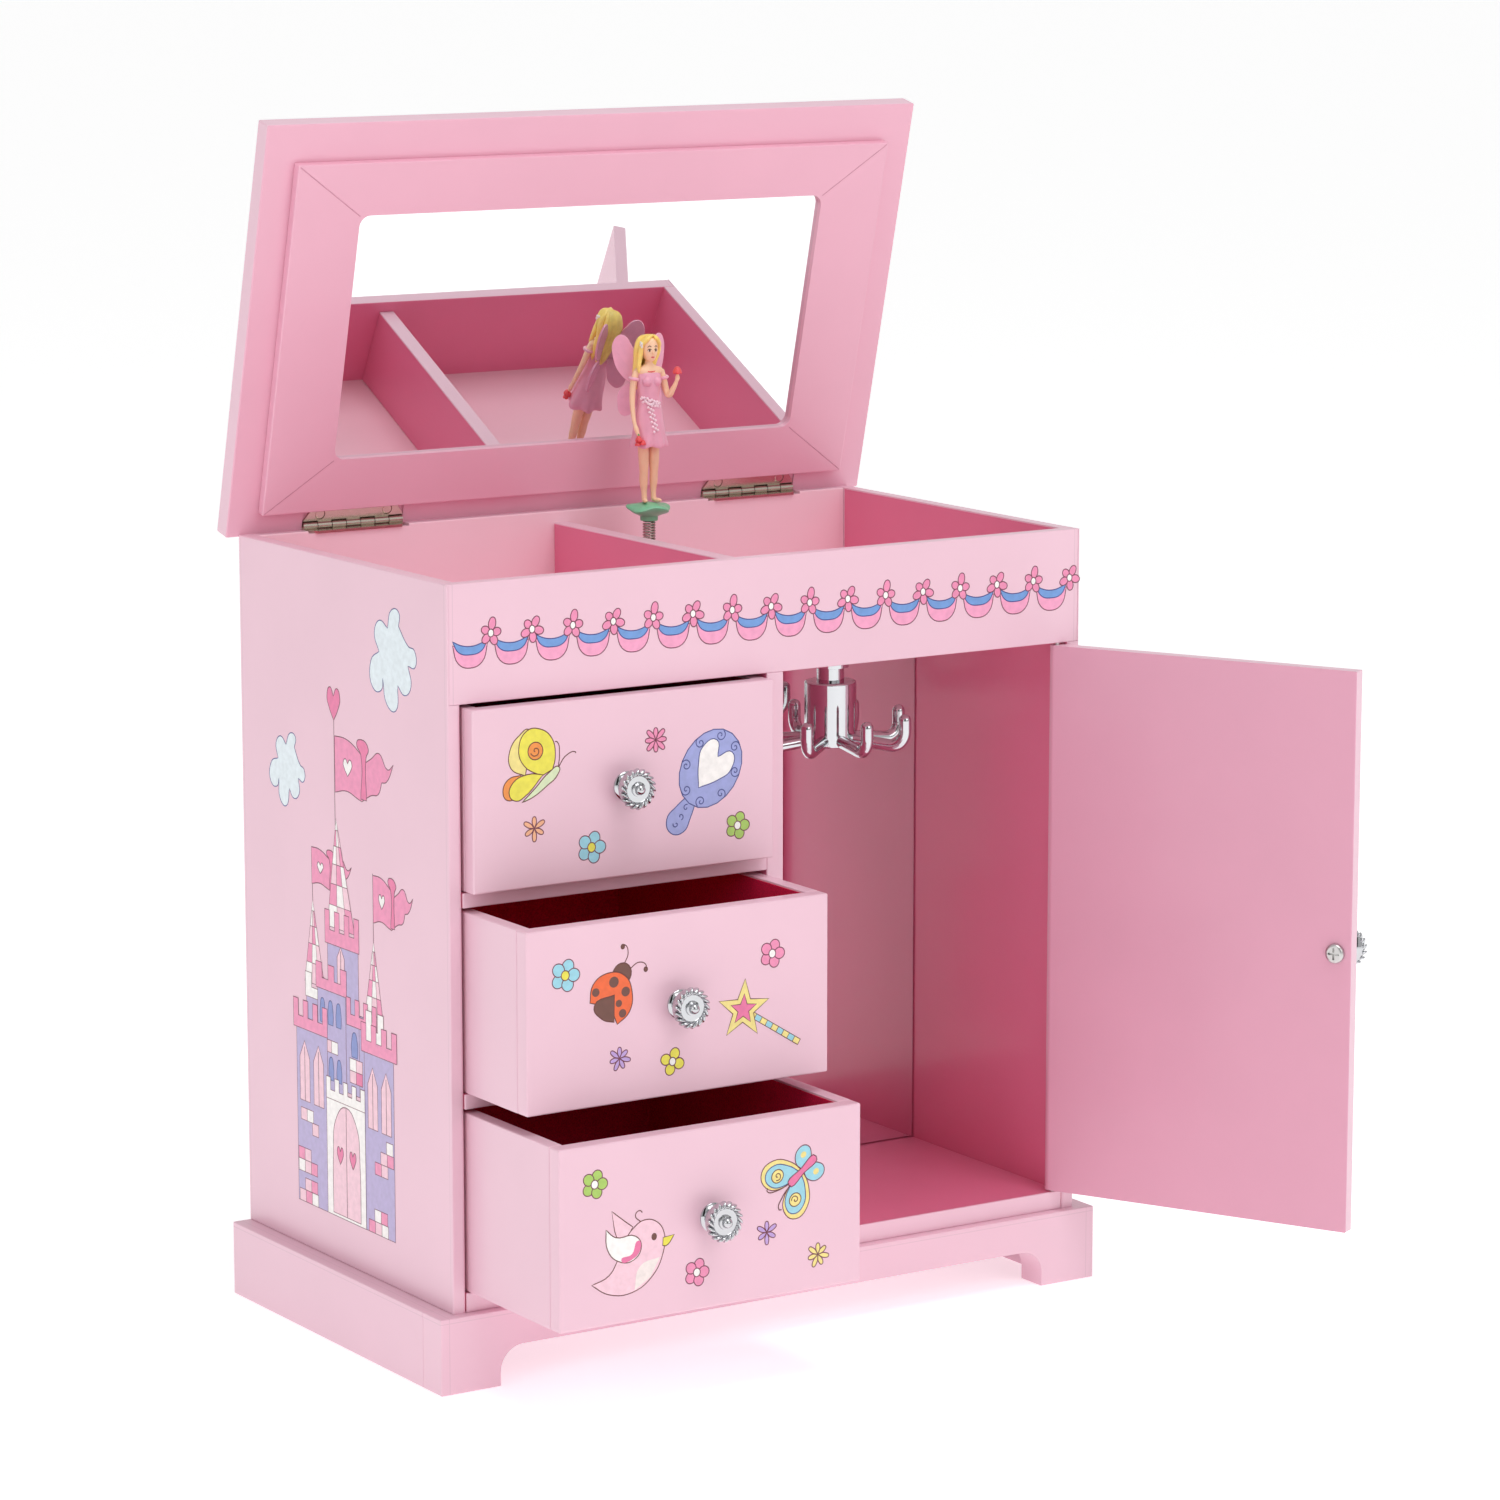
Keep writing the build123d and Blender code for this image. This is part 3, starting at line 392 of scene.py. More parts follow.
def curve_piece(points, closed, filled, lift):
    """One mark as a thin curve: a filled outline, or a line of the key's width."""
    data = bpy.data.curves.new("mark", "CURVE")
    data.dimensions = "2D" if filled else "3D"
    data.resolution_u = 5
    if filled:
        data.fill_mode = "BOTH"
        data.extrude = ink_step / 3 * mm
    else:
        data.bevel_depth = key_width / 2 * mm
        data.bevel_resolution = 0
        data.use_fill_caps = True
    spline = data.splines.new("BEZIER")
    spline.bezier_points.add(len(points) - 1)
    spline.use_cyclic_u = closed
    for knot, point in zip(spline.bezier_points, points):
        knot.co = (point[0] * mm, point[1] * mm, 0)
        sharp = len(point) > 2
        knot.handle_left_type = knot.handle_right_type = "VECTOR" if sharp else "AUTO"
    mark = bpy.data.objects.new("mark", data)
    bpy.context.collection.objects.link(mark)
    mark.location.z = lift * mm
    if not filled:
        mark.scale.z = ink_step / key_width
    return mark


def printed(name, marks, place, body):
    """Print marks on a panel: later marks lie over earlier ones, one ink's thickness up."""
    layers, levels = [], []
    for fill, key, closed, points in marks:
        xs, ys = [p[0] for p in points], [p[1] for p in points]
        limits = (min(xs), max(xs), min(ys), max(ys))
        under = [
            level for other, level in levels
            if limits[0] < other[1] and other[0] < limits[1]
            and limits[2] < other[3] and other[2] < limits[3]
        ]
        level = max(under, default=0) + 1
        levels.append((limits, level))
        lift = ink_start + level * ink_step
        if fill:
            layers.append((curve_piece(points, closed, True, lift), fill))
        if key:
            layers.append((curve_piece(points, closed, False, lift + ink_step / 2), key))
    for mark, colour in layers:
        mark.data.materials.append(ink(colour))
    sheet = [mark for mark, colour in layers]
    bpy.ops.object.select_all(action="DESELECT")
    for mark in sheet:
        mark.select_set(True)
    bpy.context.view_layer.objects.active = sheet[0]
    bpy.ops.object.convert(target="MESH")
    bpy.ops.object.transform_apply(location=True, rotation=True, scale=True)
    bpy.ops.object.join()
    piece = bpy.context.object
    piece.name = name
    piece.data.transform(place)
    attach(piece, body)
    return piece


def panel(origin, across, up):
    """The place of a printed panel: its middle, the way to its right and the way up."""
    across, up, origin = Vector(across), Vector(up), Vector(origin)
    out = across.cross(up)
    return Matrix((
        (across.x, up.x, out.x, origin.x), (across.y, up.y, out.y, origin.y),
        (across.z, up.z, out.z, origin.z), (0, 0, 0, 1),
    ))


garland_pitch = 15.3
garland_first = -108.8
garland_drop = (fascia_high[2] - 0.2490) / mm
swag_inset = 1.2
garland = []
ends = [garland_first + place * garland_pitch for place in range(16)]
for start, end in zip([garland_first - garland_pitch] + ends, ends):
    low = max(start + swag_inset, fascia_low[0] / mm + 0.6)
    high, middle = end - swag_inset, (start + end) / 2
    garland.append(area("swag_pink", [
        (low, -3.0, 1), (middle - 4.4, -9.0), (middle, -10.7), (middle + 4.4, -9.0), (high, -3.0, 1),
        (middle, -5.6),
    ]))
    garland.append(area("swag_blue", [
        (low, -1.7, 1), (middle - 4.2, -5.4), (middle, -6.4), (middle + 4.2, -5.4), (high, -1.7, 1),
        (middle + 3.6, -3.1), (middle, -3.7), (middle - 3.6, -3.1),
    ], "key_blue"))
for place, x in enumerate(ends):
    tall = place % 2 == 0
    lengths = (5.2, 3.8, 4.2, 4.2, 3.8) if tall else (4.6, 3.8, 4.4, 4.4, 4.4)
    blossom = flower("blossom_pink", "paper_white", lengths, 2.7, first=80 if tall else 60)
    garland += marks_moved(blossom, x=x)
front_face = (0, fascia_low[1], fascia_high[2] - garland_drop * mm)
printed("fascia_garland", garland, panel(front_face, (1, 0, 0), (0, 0, 1)), "case")

# ---- Printed drawer fronts -----------------------------------------------------------------------
# Each drawer front has its own scatter of playthings and small flowers, kept clear of the knob.


def star_flower(fill, arms, radius, key="key_mauve"):
    """A flower of narrow arms round nothing."""
    return flower(fill, None, [radius * (0.88 + 0.12 * (arm % 2)) for arm in range(arms)],
                  radius * 0.37, key=key)


def round_flower(fill, eye, radius, petals=5):
    """A flower of broad equal petals."""
    return flower(fill, eye, [radius] * petals, radius * 0.8, (radius * 0.55, radius * 0.6), first=70)


def curl(x, y, radius, turns=1.25, start=0.0, way=1):
    """A spiral line that winds in to a point."""
    steps = int(turns * 8)
    return [
        (x + radius * (1 - k / steps) * cos(radians(start + way * 45 * k)),
         y + radius * (1 - k / steps) * sin(radians(start + way * 45 * k)))
        for k in range(steps)
    ]


side_butterfly = [
    area("straw", [(-38, 7, 1), (-43.4, 10), (-43.6, 16), (-40, 20.5), (-36.6, 22), (-37, 13)],
         "key_brown"),
    area("sun", [(-32, 6.4, 1), (-38.6, 10.5), (-40.4, 16), (-37.4, 21.6), (-32.4, 21.8), (-28, 18.4),
                 (-26.8, 12), (-27.8, 8.2, 1)], "key_brown"),
    area("orange", [(-39.6, 7.4, 1), (-44.4, 6.4), (-46.4, 2.6), (-44.6, -0.4), (-41, 1)], "key_brown"),
    area("sun", [(-31.4, 6.8, 1), (-37, 7.4), (-42.6, 5.2), (-44, 1.2), (-41.4, -0.9), (-38.4, 0.2)],
         "key_brown"),
    area("orange", oval(5.6, 5.8), "key_brown"),
    stroke(curl(0, 0, 1.9, 1.3, 200), "key_brown"),
    area("pale_leaf", [(-25.4, 8.8), (-29, 7.4), (-34.4, 2.6), (-39.4, -1.6, 1), (-35.2, -0.2), (-30, 3),
                       (-26, 6.2)], "key_brown"),
    stroke([(-25.6, 9), (-25.2, 13), (-26, 17), (-26.8, 17.2)], "key_brown"),
    stroke([(-25.4, 9), (-23, 12), (-19.4, 13.2), (-19, 12.7)], "key_brown"),
]
for place in (4, 5):
    fill, key, closed, points = side_butterfly[place]
    side_butterfly[place] = (fill, key, closed, moved(points, x=-34.2, y=14.8))


def heart(width, height):
    """A heart that stands on its point."""
    half = width / 2
    return [
        (0, -height / 2, 1), (half * 0.7, -height * 0.12), (half, height * 0.2),
        (half * 0.55, height * 0.5),
        (0, height * 0.24, 1), (-half * 0.55, height * 0.5), (-half, height * 0.2),
        (-half * 0.7, -height * 0.12),
    ]


hand_mirror = [
    area("looking_glass", [(-1.6, -11, 1), (-3.4, -17), (-4, -22.6), (0, -25.4), (4, -22.6), (3.4, -17),
                           (1.6, -11, 1)], "key_blue"),
    area("looking_glass", oval(22.5, 27.5), "key_blue"),
    area("paper_white", moved(heart(14, 16.5), y=0.6), "key_blue"),
]
for turn in range(0, 360, 45):
    hand_mirror.append(stroke(
        moved(curl(0, 0, 2.0, 1.6, turn, 1 if turn % 90 else -1),
              x=9.3 * cos(radians(turn + 22)), y=11.7 * sin(radians(turn + 22))), "key_blue"))
for drop in (-15.5, -19, -22):
    hand_mirror.append(stroke(moved(curl(0, 0, 1.2, 1.1, drop * 40), y=drop), "key_blue"))

ladybird = [
    area("cocoa", moved(oval(7, 7.6), x=3.2, y=7.6, turn=-30), "key_brown"),
    area("ladybird", [(-8.8, -0.4, 1), (-7.6, 5.4), (-2, 8.6), (4.4, 7), (7, 1.6), (6, -5), (1.4, -8.6, 1),
                      (-1.6, -3)], "key_brown"),
    area("cocoa", [(-7.2, -1.6), (0.4, 1.2, 1), (0.2, -7.8, 1), (-4.4, -6.2)], "key_brown"),
    stroke([(4.2, 11), (5.6, 14.4), (4.2, 17.2), (3.4, 16.8)], "key_brown"),
    stroke([(6.2, 9), (9.8, 10.8), (12.4, 9.4), (12.2, 8.6)], "key_brown"),
    area("cocoa", moved(oval(1.3, 1.5), x=3.6, y=16.6), "key_brown"),
    area("cocoa", moved(oval(1.3, 1.5), x=12.2, y=8.2), "key_brown"),
]
for x, y, spot in ((0.2, 5.4, 3.6), (4.6, 1.8, 3.2), (3.4, -5.2, 2.8), (-6.6, 2.8, 2.8), (2, -1.8, 2.4)):
    ladybird.append(("cocoa", None, True, moved(oval(spot, spot), x=x, y=y)))


def star(outer, inner, points=5):
    """A pointed star."""
    reach = [outer if place % 2 == 0 else inner for place in range(2 * points)]
    return corners(*[
        (r * sin(pi * place / points), r * cos(pi * place / points)) for place, r in enumerate(reach)
    ])


wand = []
stripe = 2.5
for ring in range(9):
    near = 3 + ring * stripe
    wand.append(area("sky" if ring % 2 else "straw", box_outline(near, near + stripe, -1, 1),
                     "key_brown"))
wand = marks_moved(wand, turn=-32)
wand += [area("straw", moved(star(10.2, 4.2), turn=-4), "key_brown"),
         area("deep_pink", moved(star(5.2, 2.2), turn=-4), "key_brown")]

bird = [
    area("blush", [(-5, 1.4, 1), (-7.4, 8, 1), (-8.4, 14.6, 1), (-4, 11), (-0.6, 8.4, 1)], "key_brown"),
    area("blush", [(-16, -8.6, 1), (-9.6, -6.4), (-6.4, -2), (-3, 5), (0, 8.2), (3.6, 10), (8.4, 8.8),
                   (11.2, 4.6), (10.8, -1.6), (6.6, -9), (-1, -13.2), (-9.6, -12.6)], "key_brown"),
    ("cream", None, True, [(9.6, -3, 1), (6, -9, 1), (0, -12.6, 1), (2, -5)]),
    area("paper_white", [(-10.6, 8.8, 1), (-7, 5.8), (0.4, 5.2), (2.6, 1.6), (-0.4, -2.6), (-6, -2.2),
                         (-10, 2)], "key_brown"),
    ("deep_pink", None, True, [(1.6, 3.6), (2.4, 1.2), (-0.6, -2.2), (-5, -2), (-1, -0.6)]),
    area("sun", [(10.8, 3.2, 1), (15, 3.6, 1), (12, 0.4), (10.6, 0.6, 1)], "key_brown"),
    area("cocoa", moved(oval(1.7, 2.1), x=7.4, y=4), "key_brown"),
    stroke([(2.4, 9.6), (0.4, 12), (2, 13.4), (3, 12.6)], "key_brown"),
]

half_butterfly = [
    area("straw", [(0, 0, 1), (6, 1.4), (12, 6.6), (12, 13), (6.4, 15), (1.4, 10.4)]),
    area("sky", [(0.2, 1, 1), (5.6, 3), (10.4, 7.6), (9.8, 12.6), (5.6, 13.4), (1.6, 9.6)], "key_blue"),
    area("straw", moved(oval(4.8, 5.2), x=6.2, y=8.8), "key_brown"),
    stroke(curl(6.2, 8.8, 1.7, 1.3, 120), "key_brown"),
    area("sky", [(0, -0.4, 1), (4.4, 0.2), (7.6, -3.6), (5.8, -7.4), (2, -6.4), (0, -3.4, 1)]),
    area("straw", moved(oval(2.2, 2.6), x=4.4, y=-4), None),
]
open_butterfly = half_butterfly + [
    (fill, key, closed, [(-p[0], *p[1:]) for p in points]) for fill, key, closed, points in half_butterfly
]
open_butterfly += [
    area("deep_pink", oval(2.2, 15)),
    stroke([(0.4, 7), (2, 12), (5, 15.4), (5.8, 14.6)], "key_brown"),
    stroke([(-0.4, 7), (-1.4, 12), (-4, 16), (-4.8, 15.2)], "key_brown"),
]

drawer_marks = {
    1: side_butterfly
    + marks_moved(star_flower("peach", 6, 4.4), x=-34.8, y=-10.5)
    + marks_moved(round_flower("sky", "sun", 5.4), x=-13.3, y=-19.0)
    + marks_moved(star_flower("blossom_pink", 8, 4.6), x=11.4, y=14.1)
    + marks_moved(hand_mirror, x=32.6, y=2.6, turn=-38)
    + marks_moved(round_flower("leaf_green", "paper_white", 4.7), x=43.1, y=-17.6),
    2: marks_moved(round_flower("sky", "sun", 5.4), x=-43.0, y=14.5)
    + marks_moved(ladybird, x=-25.1, y=4.8)
    + marks_moved(round_flower("blossom_pink", "paper_white", 4.8), x=35.6, y=12.4)
    + marks_moved(wand, x=24.4, y=-4.9)
    + marks_moved(star_flower("lilac", 7, 4.2), x=-22.9, y=-15.1)
    + marks_moved(round_flower("sun", "paper_white", 4.6, 4), x=-2.9, y=-18.7),
    3: marks_moved(round_flower("leaf_green", "paper_white", 4.8), x=-44.3, y=17.1)
    + marks_moved(bird, x=-29.6, y=-7.2)
    + marks_moved(round_flower("blossom_pink", "paper_white", 4.7), x=-6.1, y=-17.5)
    + marks_moved(open_butterfly, x=34.6, y=10.4, turn=128, size=0.9)
    + marks_moved(star_flower("lilac", 6, 4.2), x=20.8, y=-8.2)
    + marks_moved(star_flower("straw", 7, 4.4), x=40.7, y=-18.6),
}
for number, marks in drawer_marks.items():
    low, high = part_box(f"drawer_{number}_front")
    middle = ((low[0] + high[0]) / 2, low[1], (low[2] + high[2]) / 2)
    printed(f"drawer_{number}_print", marks, panel(middle, (1, 0, 0), (0, 0, 1)), f"drawer_{number}")
    finish(plinth_paper, f"drawer_{number}_front", f"drawer_{number}_walls", f"drawer_{number}_bottom")

# ---- Printed door --------------------------------------------------------------------------------
# The door carries the same drawings in a taller scatter, clear of its knob near the free edge.
door_pivot = Vector(hinge["door_hinge"]["pos_m"])
door_out = -Vector(door_in)
door_along = Vector((cos(door_angle), sin(door_angle), 0))
door_low, door_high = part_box("door_panel")
door_width = 0.1126
door_board = 0.0049
door_middle = door_pivot + door_out * door_board / 2 - door_along * door_width / 2
door_middle.z = (door_low[2] + door_high[2]) / 2
door_marks = (
    marks_moved(open_butterfly, x=22, y=58, turn=-20, size=1.25)
    + marks_moved(hand_mirror, x=-14, y=-52, turn=24, size=1.2)
    + marks_moved(ladybird, x=26, y=-14, size=1.1)
    + marks_moved(bird, x=-12, y=26, size=1.1)
    + marks_moved(round_flower("sky", "sun", 6), x=-32, y=72)
    + marks_moved(round_flower("leaf_green", "paper_white", 5.4), x=-2, y=84)
    + marks_moved(round_flower("blossom_pink", "paper_white", 5.8), x=38, y=24)
    + marks_moved(round_flower("sun", "paper_white", 5.2, 4), x=34, y=-62)
    + marks_moved(star_flower("lilac", 7, 5), x=6, y=-12)
    + marks_moved(star_flower("peach", 6, 5), x=-36, y=-26)
    + marks_moved(star_flower("blossom_pink", 8, 5.2), x=14, y=-84)
)
printed("door_print", door_marks, panel(door_middle, door_along, (0, 0, 1)), "door")

# ---- Printed castle on the sides -----------------------------------------------------------------
# A violet castle with pink battlements, chequered spires and waving flags fills each side; two
# clouds float above it. Heights are from the foot of the panel, widths from its middle.


def battlement(x0, x1, y0, y1, teeth, fill="blossom_pink"):
    """A parapet with square teeth."""
    step = (x1 - x0) / (2 * teeth - 1)
    gap = y0 + (y1 - y0) * 0.42
    outline = [(x0, y0), (x1, y0)]
    for tooth in reversed(range(teeth)):
        left = x0 + 2 * tooth * step
        outline += [(left + step, y1), (left, y1)]
        if tooth:
            outline += [(left, gap), (left - step, gap)]
    return [area(fill, corners(*outline))]


def lancet(x, y, width, height, fill="blush"):
    """A pointed shutter with a middle line."""
    outline = corners((x - width / 2, y), (x + width / 2, y), (x + width / 2, y + height * 0.72),
                      (x, y + height), (x - width / 2, y + height * 0.72))
    return [area(fill, outline), stroke(corners((x, y), (x, y + height * 0.9)))]


def round_window(x, y, width, height):
    """A window with a low arched head."""
    outline = [(x - width / 2, y, 1), (x + width / 2, y, 1), (x + width / 2, y + height * 0.6),
               (x, y + height), (x - width / 2, y + height * 0.6)]
    return [area("window_blue", outline, "key_blue")]


def bricks(x, y, rows, width=4.4, height=4.2):
    """A worn patch of coloured bricks; each row is (offset, colours)."""
    marks = []
    for row, (offset, colours) in enumerate(rows):
        for place, fill in enumerate(colours):
            x0, y0 = x + offset + place * width, y + row * height
            marks.append(area(fill, box_outline(x0, x0 + width, y0, y0 + height)))
    return marks


def spire(x0, x1, foot, tip_x, tip, courses):
    """A tall cone in courses of white and pink, each split into three unequal tiles."""
    marks = []
    colours = ("paper_white", "blossom_pink", "blush")
    for course in range(courses):
        low, high = [1 - (1 - k / courses) ** 1.25 for k in (course, course + 1)]
        y0, y1 = foot + (tip - foot) * low, foot + (tip - foot) * high
        edges = []
        for share in (low, high):
            edges.append([x0 + (x1 - x0) * part + (tip_x - x0 - (x1 - x0) * part) * share
                          for part in (0, 0.36, 0.7, 1)])
        if course == courses - 1:
            marks.append(area("paper_white", corners((edges[0][0], y0), (edges[0][3], y0), (tip_x, tip))))
            continue
        for tile in range(3):
            marks.append(area(colours[(course + tile * 2) % 3], corners(
                (edges[0][tile], y0), (edges[0][tile + 1], y0),
                (edges[1][tile + 1], y1), (edges[1][tile], y1),
            )))
    return marks


def flag(x, y, width, height):
    """A waving flag on its pole, folded once, with a white heart."""
    cloth = area("blossom_pink", [
        (0, 0, 1), (width * 0.2, height * 0.08), (width * 0.4, 0), (width * 0.46, -0.02 * height, 1),
        (width * 0.62, height * 0.14), (width * 0.74, height * 0.2), (width * 0.8, height * 0.42, 1),
        (width * 0.88, height * 0.46), (width, height * 0.8, 1), (width * 0.9, height * 0.68),
        (width * 0.76, height * 0.92), (width * 0.62, height * 0.78), (width * 0.54, height * 0.7, 1),
        (width * 0.4, height * 0.86), (width * 0.2, height * 1.0), (0, height, 1),
    ])
    fold = area("deep_pink", [
        (width * 0.44, height * 0.02, 1), (width * 0.54, height * 0.02, 1), (width * 0.54, height * 0.78),
        (width * 0.58, height * 0.94), (width * 0.42, height * 1.06), (width * 0.38, height * 0.98),
        (width * 0.45, height * 0.8),
    ])
    token = area("paper_white", moved(heart(width * 0.15, height * 0.3), x=width * 0.22, y=height * 0.5))
    return marks_moved([cloth, fold, token], x=x, y=y)


castle_foot = 15.5
castle = [stroke(corners((-5, 150), (-5, 187)))]
castle += [area("deep_pink", moved(heart(9, 11), x=-5, y=191))]
castle += [stroke(corners((-21.6, 120), (-21.6, 140))), stroke(corners((20.4, 113), (20.4, 138)))]
castle += flag(-22, 127.5, 28, 12.6) + flag(-4.6, 161.4, 40, 19) + flag(20.4, 121.4, 27, 16)
castle += spire(-28, -14, 93, -21.6, 122, 5) + spire(14.2, 26.2, 90, 20.4, 115, 5)
castle += [area("wall_violet", box_outline(-27, -16, 79, 90)),
           area("wall_violet", box_outline(1.6, 21, 60, 88))]
castle += battlement(-27.6, -14.4, 88, 96.5, 2, "paper_white")
castle += [area("wall_violet", box_outline(-11.6, 9.7, 60, 112))]
castle += spire(-11.3, 7.6, 115, -4.4, 152.5, 6)
castle += battlement(-13.2, 10.4, 109, 120.5, 4) + lancet(-2.4, 96, 5, 13)
castle += [area("wall_violet", box_outline(-19, 0.6, 40, 96))] + battlement(-20, 1.4, 92.5, 101.5, 3)
castle += [mark for x in (-15.6, -10, -4.4) for mark in round_window(x, 81, 3.4, 8.4)]
castle += [mark for x in (-15.6, -10, -4.4) for mark in round_window(x, 62, 3.2, 8)]
castle += bricks(-14, 71.5, [(0, ("blush", "paper_white"))])
castle += battlement(1.2, 21.8, 83.5, 93, 4) + round_window(6.4, 73, 4, 8.6)
castle += bricks(3, 64, [(0, ("blush", "deep_pink")), (0, ("paper_white", "blush"))])
castle += battlement(14.6, 26.6, 80, 91, 2, "paper_white")
castle += [area("wall_violet", box_outline(-34.4, -12.6, castle_foot, 80))]
castle += [area("wall_violet", box_outline(13, 33, castle_foot, 80))]
castle += battlement(-36.4, -12.4, 76, 86, 4) + battlement(11.2, 35.4, 76.5, 86.5, 4)
for lancet_x, lancet_width in ((-28.8, 7), (-19, 7), (18.6, 6.6), (27.8, 6.6)):
    castle += lancet(lancet_x, 51, lancet_width, 21)
castle += bricks(-32, 40, [(8, ("blush",)), (0, ("blush", "paper_white"))])
castle += bricks(-34, 26, [(0, ("paper_white", "blush", "blossom_pink")), (0, ("blossom_pink", "blush"))])
castle += bricks(-33.6, 15.5, [(0, ("blush", "blossom_pink", "paper_white")),
                               (4, ("blush", "blossom_pink"))])
castle += bricks(15, 15.5, [(0, ("blossom_pink", "blush", "paper_white")),
                            (4, ("paper_white", "blossom_pink"))])
castle += bricks(19.6, 36, [(0, ("blossom_pink", "blush")), (4, ("blush", "blossom_pink")),
                            (8, ("paper_white",))])
castle += [area("paper_white", box_outline(-13.6, 13.2, castle_foot, 57))]
castle += battlement(-13.6, 13.2, 55.5, 63, 5, "paper_white")
gate = [
    (-9.6, castle_foot + 1, 1), (9.6, castle_foot + 1, 1), (9.2, 38), (7.6, 48.5), (0, 54.5), (-7.6, 48.5),
    (-9.2, 38),
]
castle += [area("blush", gate)]
castle += [stroke(corners((0, castle_foot + 1), (0, 54.3)))]
castle += [area("deep_pink", moved(heart(4.4, 6), x=x, y=37)) for x in (-4.4, 4.4)]
cloud_lobes = [
    (9, 3), (5, 8.5, 1), (6, 12), (2, 13), (-1, 8.6, 1), (-5, 11), (-8.4, 8), (-7, 3, 1), (-12, 1),
    (-12.6, -6), (-8, -7), (-6.6, -4, 1), (-6, -11), (-1.6, -13), (1, -6.6, 1), (4, -9.4), (8, -7.4),
    (7.6, -2, 1), (11.4, -2.6), (12, 1.6),
]
castle += [area("cloud", moved(cloud_lobes, x=-38, y=164, size=0.98), "key_blue")]
castle += [area("cloud", moved(cloud_lobes, x=36, y=211, size=1.25, turn=12), "key_blue")]
side_middle = (left_low[1] + left_high[1]) / 2
printed("left_castle_print", castle,
        panel((left_low[0], side_middle, left_low[2]), (0, -1, 0), (0, 0, 1)), "case")
printed("right_castle_print", castle,
        panel((right_high[0], side_middle, right_low[2]), (0, 1, 0), (0, 0, 1)), "case")

# ---- Mitre lines of the lid's frame --------------------------------------------------------------
# The frame's paper is cut and lapped on the diagonal at each corner of the mirror's window, which
# leaves a faint darker line.
pin = Vector(hinge["lid_hinge"]["pos_m"])
lid_open = Matrix.Translation(pin) @ Matrix.Rotation(-lid_angle, 4, "X") @ Matrix.Translation(-pin)
frame_half = (118.3, 62.0)
window_half = (93.0, 43.5)
lap_inset = 0.6
frame_face_middle = (0, -0.0680, 0.2625)
ink_colours["lap_line"] = "dd97ae"
laps = [
    (None, "lap_line", False, corners((sx * window_half[0], sy * window_half[1] - 0.1),
                                      (sx * (frame_half[0] - lap_inset), sy * (frame_half[1] - lap_inset))))
    for sx in (-1, 1) for sy in (-1, 1)
]
lap_place = lid_open @ panel(frame_face_middle, (1, 0, 0), (0, -1, 0))
printed("lid_frame_laps", laps, lap_place, "lid")

# ---- Drawer linings ------------------------------------------------------------------------------
# Each drawer is lined with crimson flocked card, folded up into an open tray that stops just
# below the pale edge of the walls.
wall_board = 5 * mm
lining_card = 0.5 * mm
lining_below_edge = 0.7 * mm
flock_fibre = 1 / (0.6 * mm)
flock_crimson = "d81c4c"
flock, tree, shader = shader_of("crimson_flocked_card", flock_crimson, 0.95, Sheen_Weight=0.35,
                                Sheen_Roughness=0.5)
shader.inputs["Sheen Tint"].default_value = linear("d8506f")
shader.inputs["Specular IOR Level"].default_value = 0.15
where = add_node(tree, "TexCoord").outputs["Object"]
fibres = add_node(tree, "TexNoise", {"Vector": where, "Scale": flock_fibre, "Detail": 4.0})
uneven(tree, shader, fibres, flock_crimson, 0.7, 1.25, 0.25, 0.75)
pile = add_node(tree, "Bump", {"Height": fibres.outputs[0], "Strength": 0.6, "Distance": 0.15 * mm})
tree.links.new(pile.outputs[0], shader.inputs["Normal"])


def finished(name, body, slot, *stands_for):
    """Name the active piece, put it on the body it rides on and hide the nodes it stands for. The slot is
    not used.
    """
    piece = bpy.context.object
    piece.name = name
    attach(piece, body)
    if stands_for:
        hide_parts(*stands_for)
    return piece


for number in (1, 2, 3):
    walls_low, walls_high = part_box(f"drawer_{number}_walls")
    front_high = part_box(f"drawer_{number}_front")[1]
    bottom_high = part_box(f"drawer_{number}_bottom")[1]
    low = Vector((walls_low[0] + wall_board, front_high[1], bottom_high[2]))
    high = Vector((walls_high[0] - wall_board, walls_high[1] - wall_board,
                   walls_high[2] - lining_below_edge))
    bpy.ops.object.select_all(action="DESELECT")
    bpy.ops.mesh.primitive_cube_add(size=1, location=(low + high) / 2, scale=high - low)
    lining = bpy.context.object
    bpy.ops.object.transform_apply(location=True, rotation=True, scale=True)
    bpy.ops.object.mode_set(mode="EDIT")
    bpy.ops.mesh.select_all(action="DESELECT")
    bpy.ops.object.mode_set(mode="OBJECT")
    for face in lining.data.polygons:
        face.select = face.normal.z > 0.5
    bpy.ops.object.mode_set(mode="EDIT")
    bpy.ops.mesh.delete(type="FACE")
    bpy.ops.object.mode_set(mode="OBJECT")
    bpy.ops.object.modifier_add(type="SOLIDIFY")
    lining.modifiers[0].thickness = lining_card
    lining.modifiers[0].offset = -1
    bpy.ops.object.modifier_apply(modifier=lining.modifiers[0].name)
    bpy.ops.object.modifier_add(type="BEVEL")
    lining.modifiers[0].width = lining_card * 0.3
    lining.modifiers[0].segments = 2
    bpy.ops.object.modifier_apply(modifier=lining.modifiers[0].name)
    lining.data.materials.append(flock)
    finished(f"drawer_{number}_lining", f"drawer_{number}", "drawer_card")

# ---- Mirrors -------------------------------------------------------------------------------------
# Float glass silvered on the back: a clear, neutral reflection with the faintest softness. One lies
# in the lid's frame, one lines the back of the necklace cabinet.
mirror, tree, shader = shader_of("silvered_float_glass", "eff2f2", 0.012, Metallic=1.0)
finish(mirror, "lid_mirror", "cabinet_mirror")

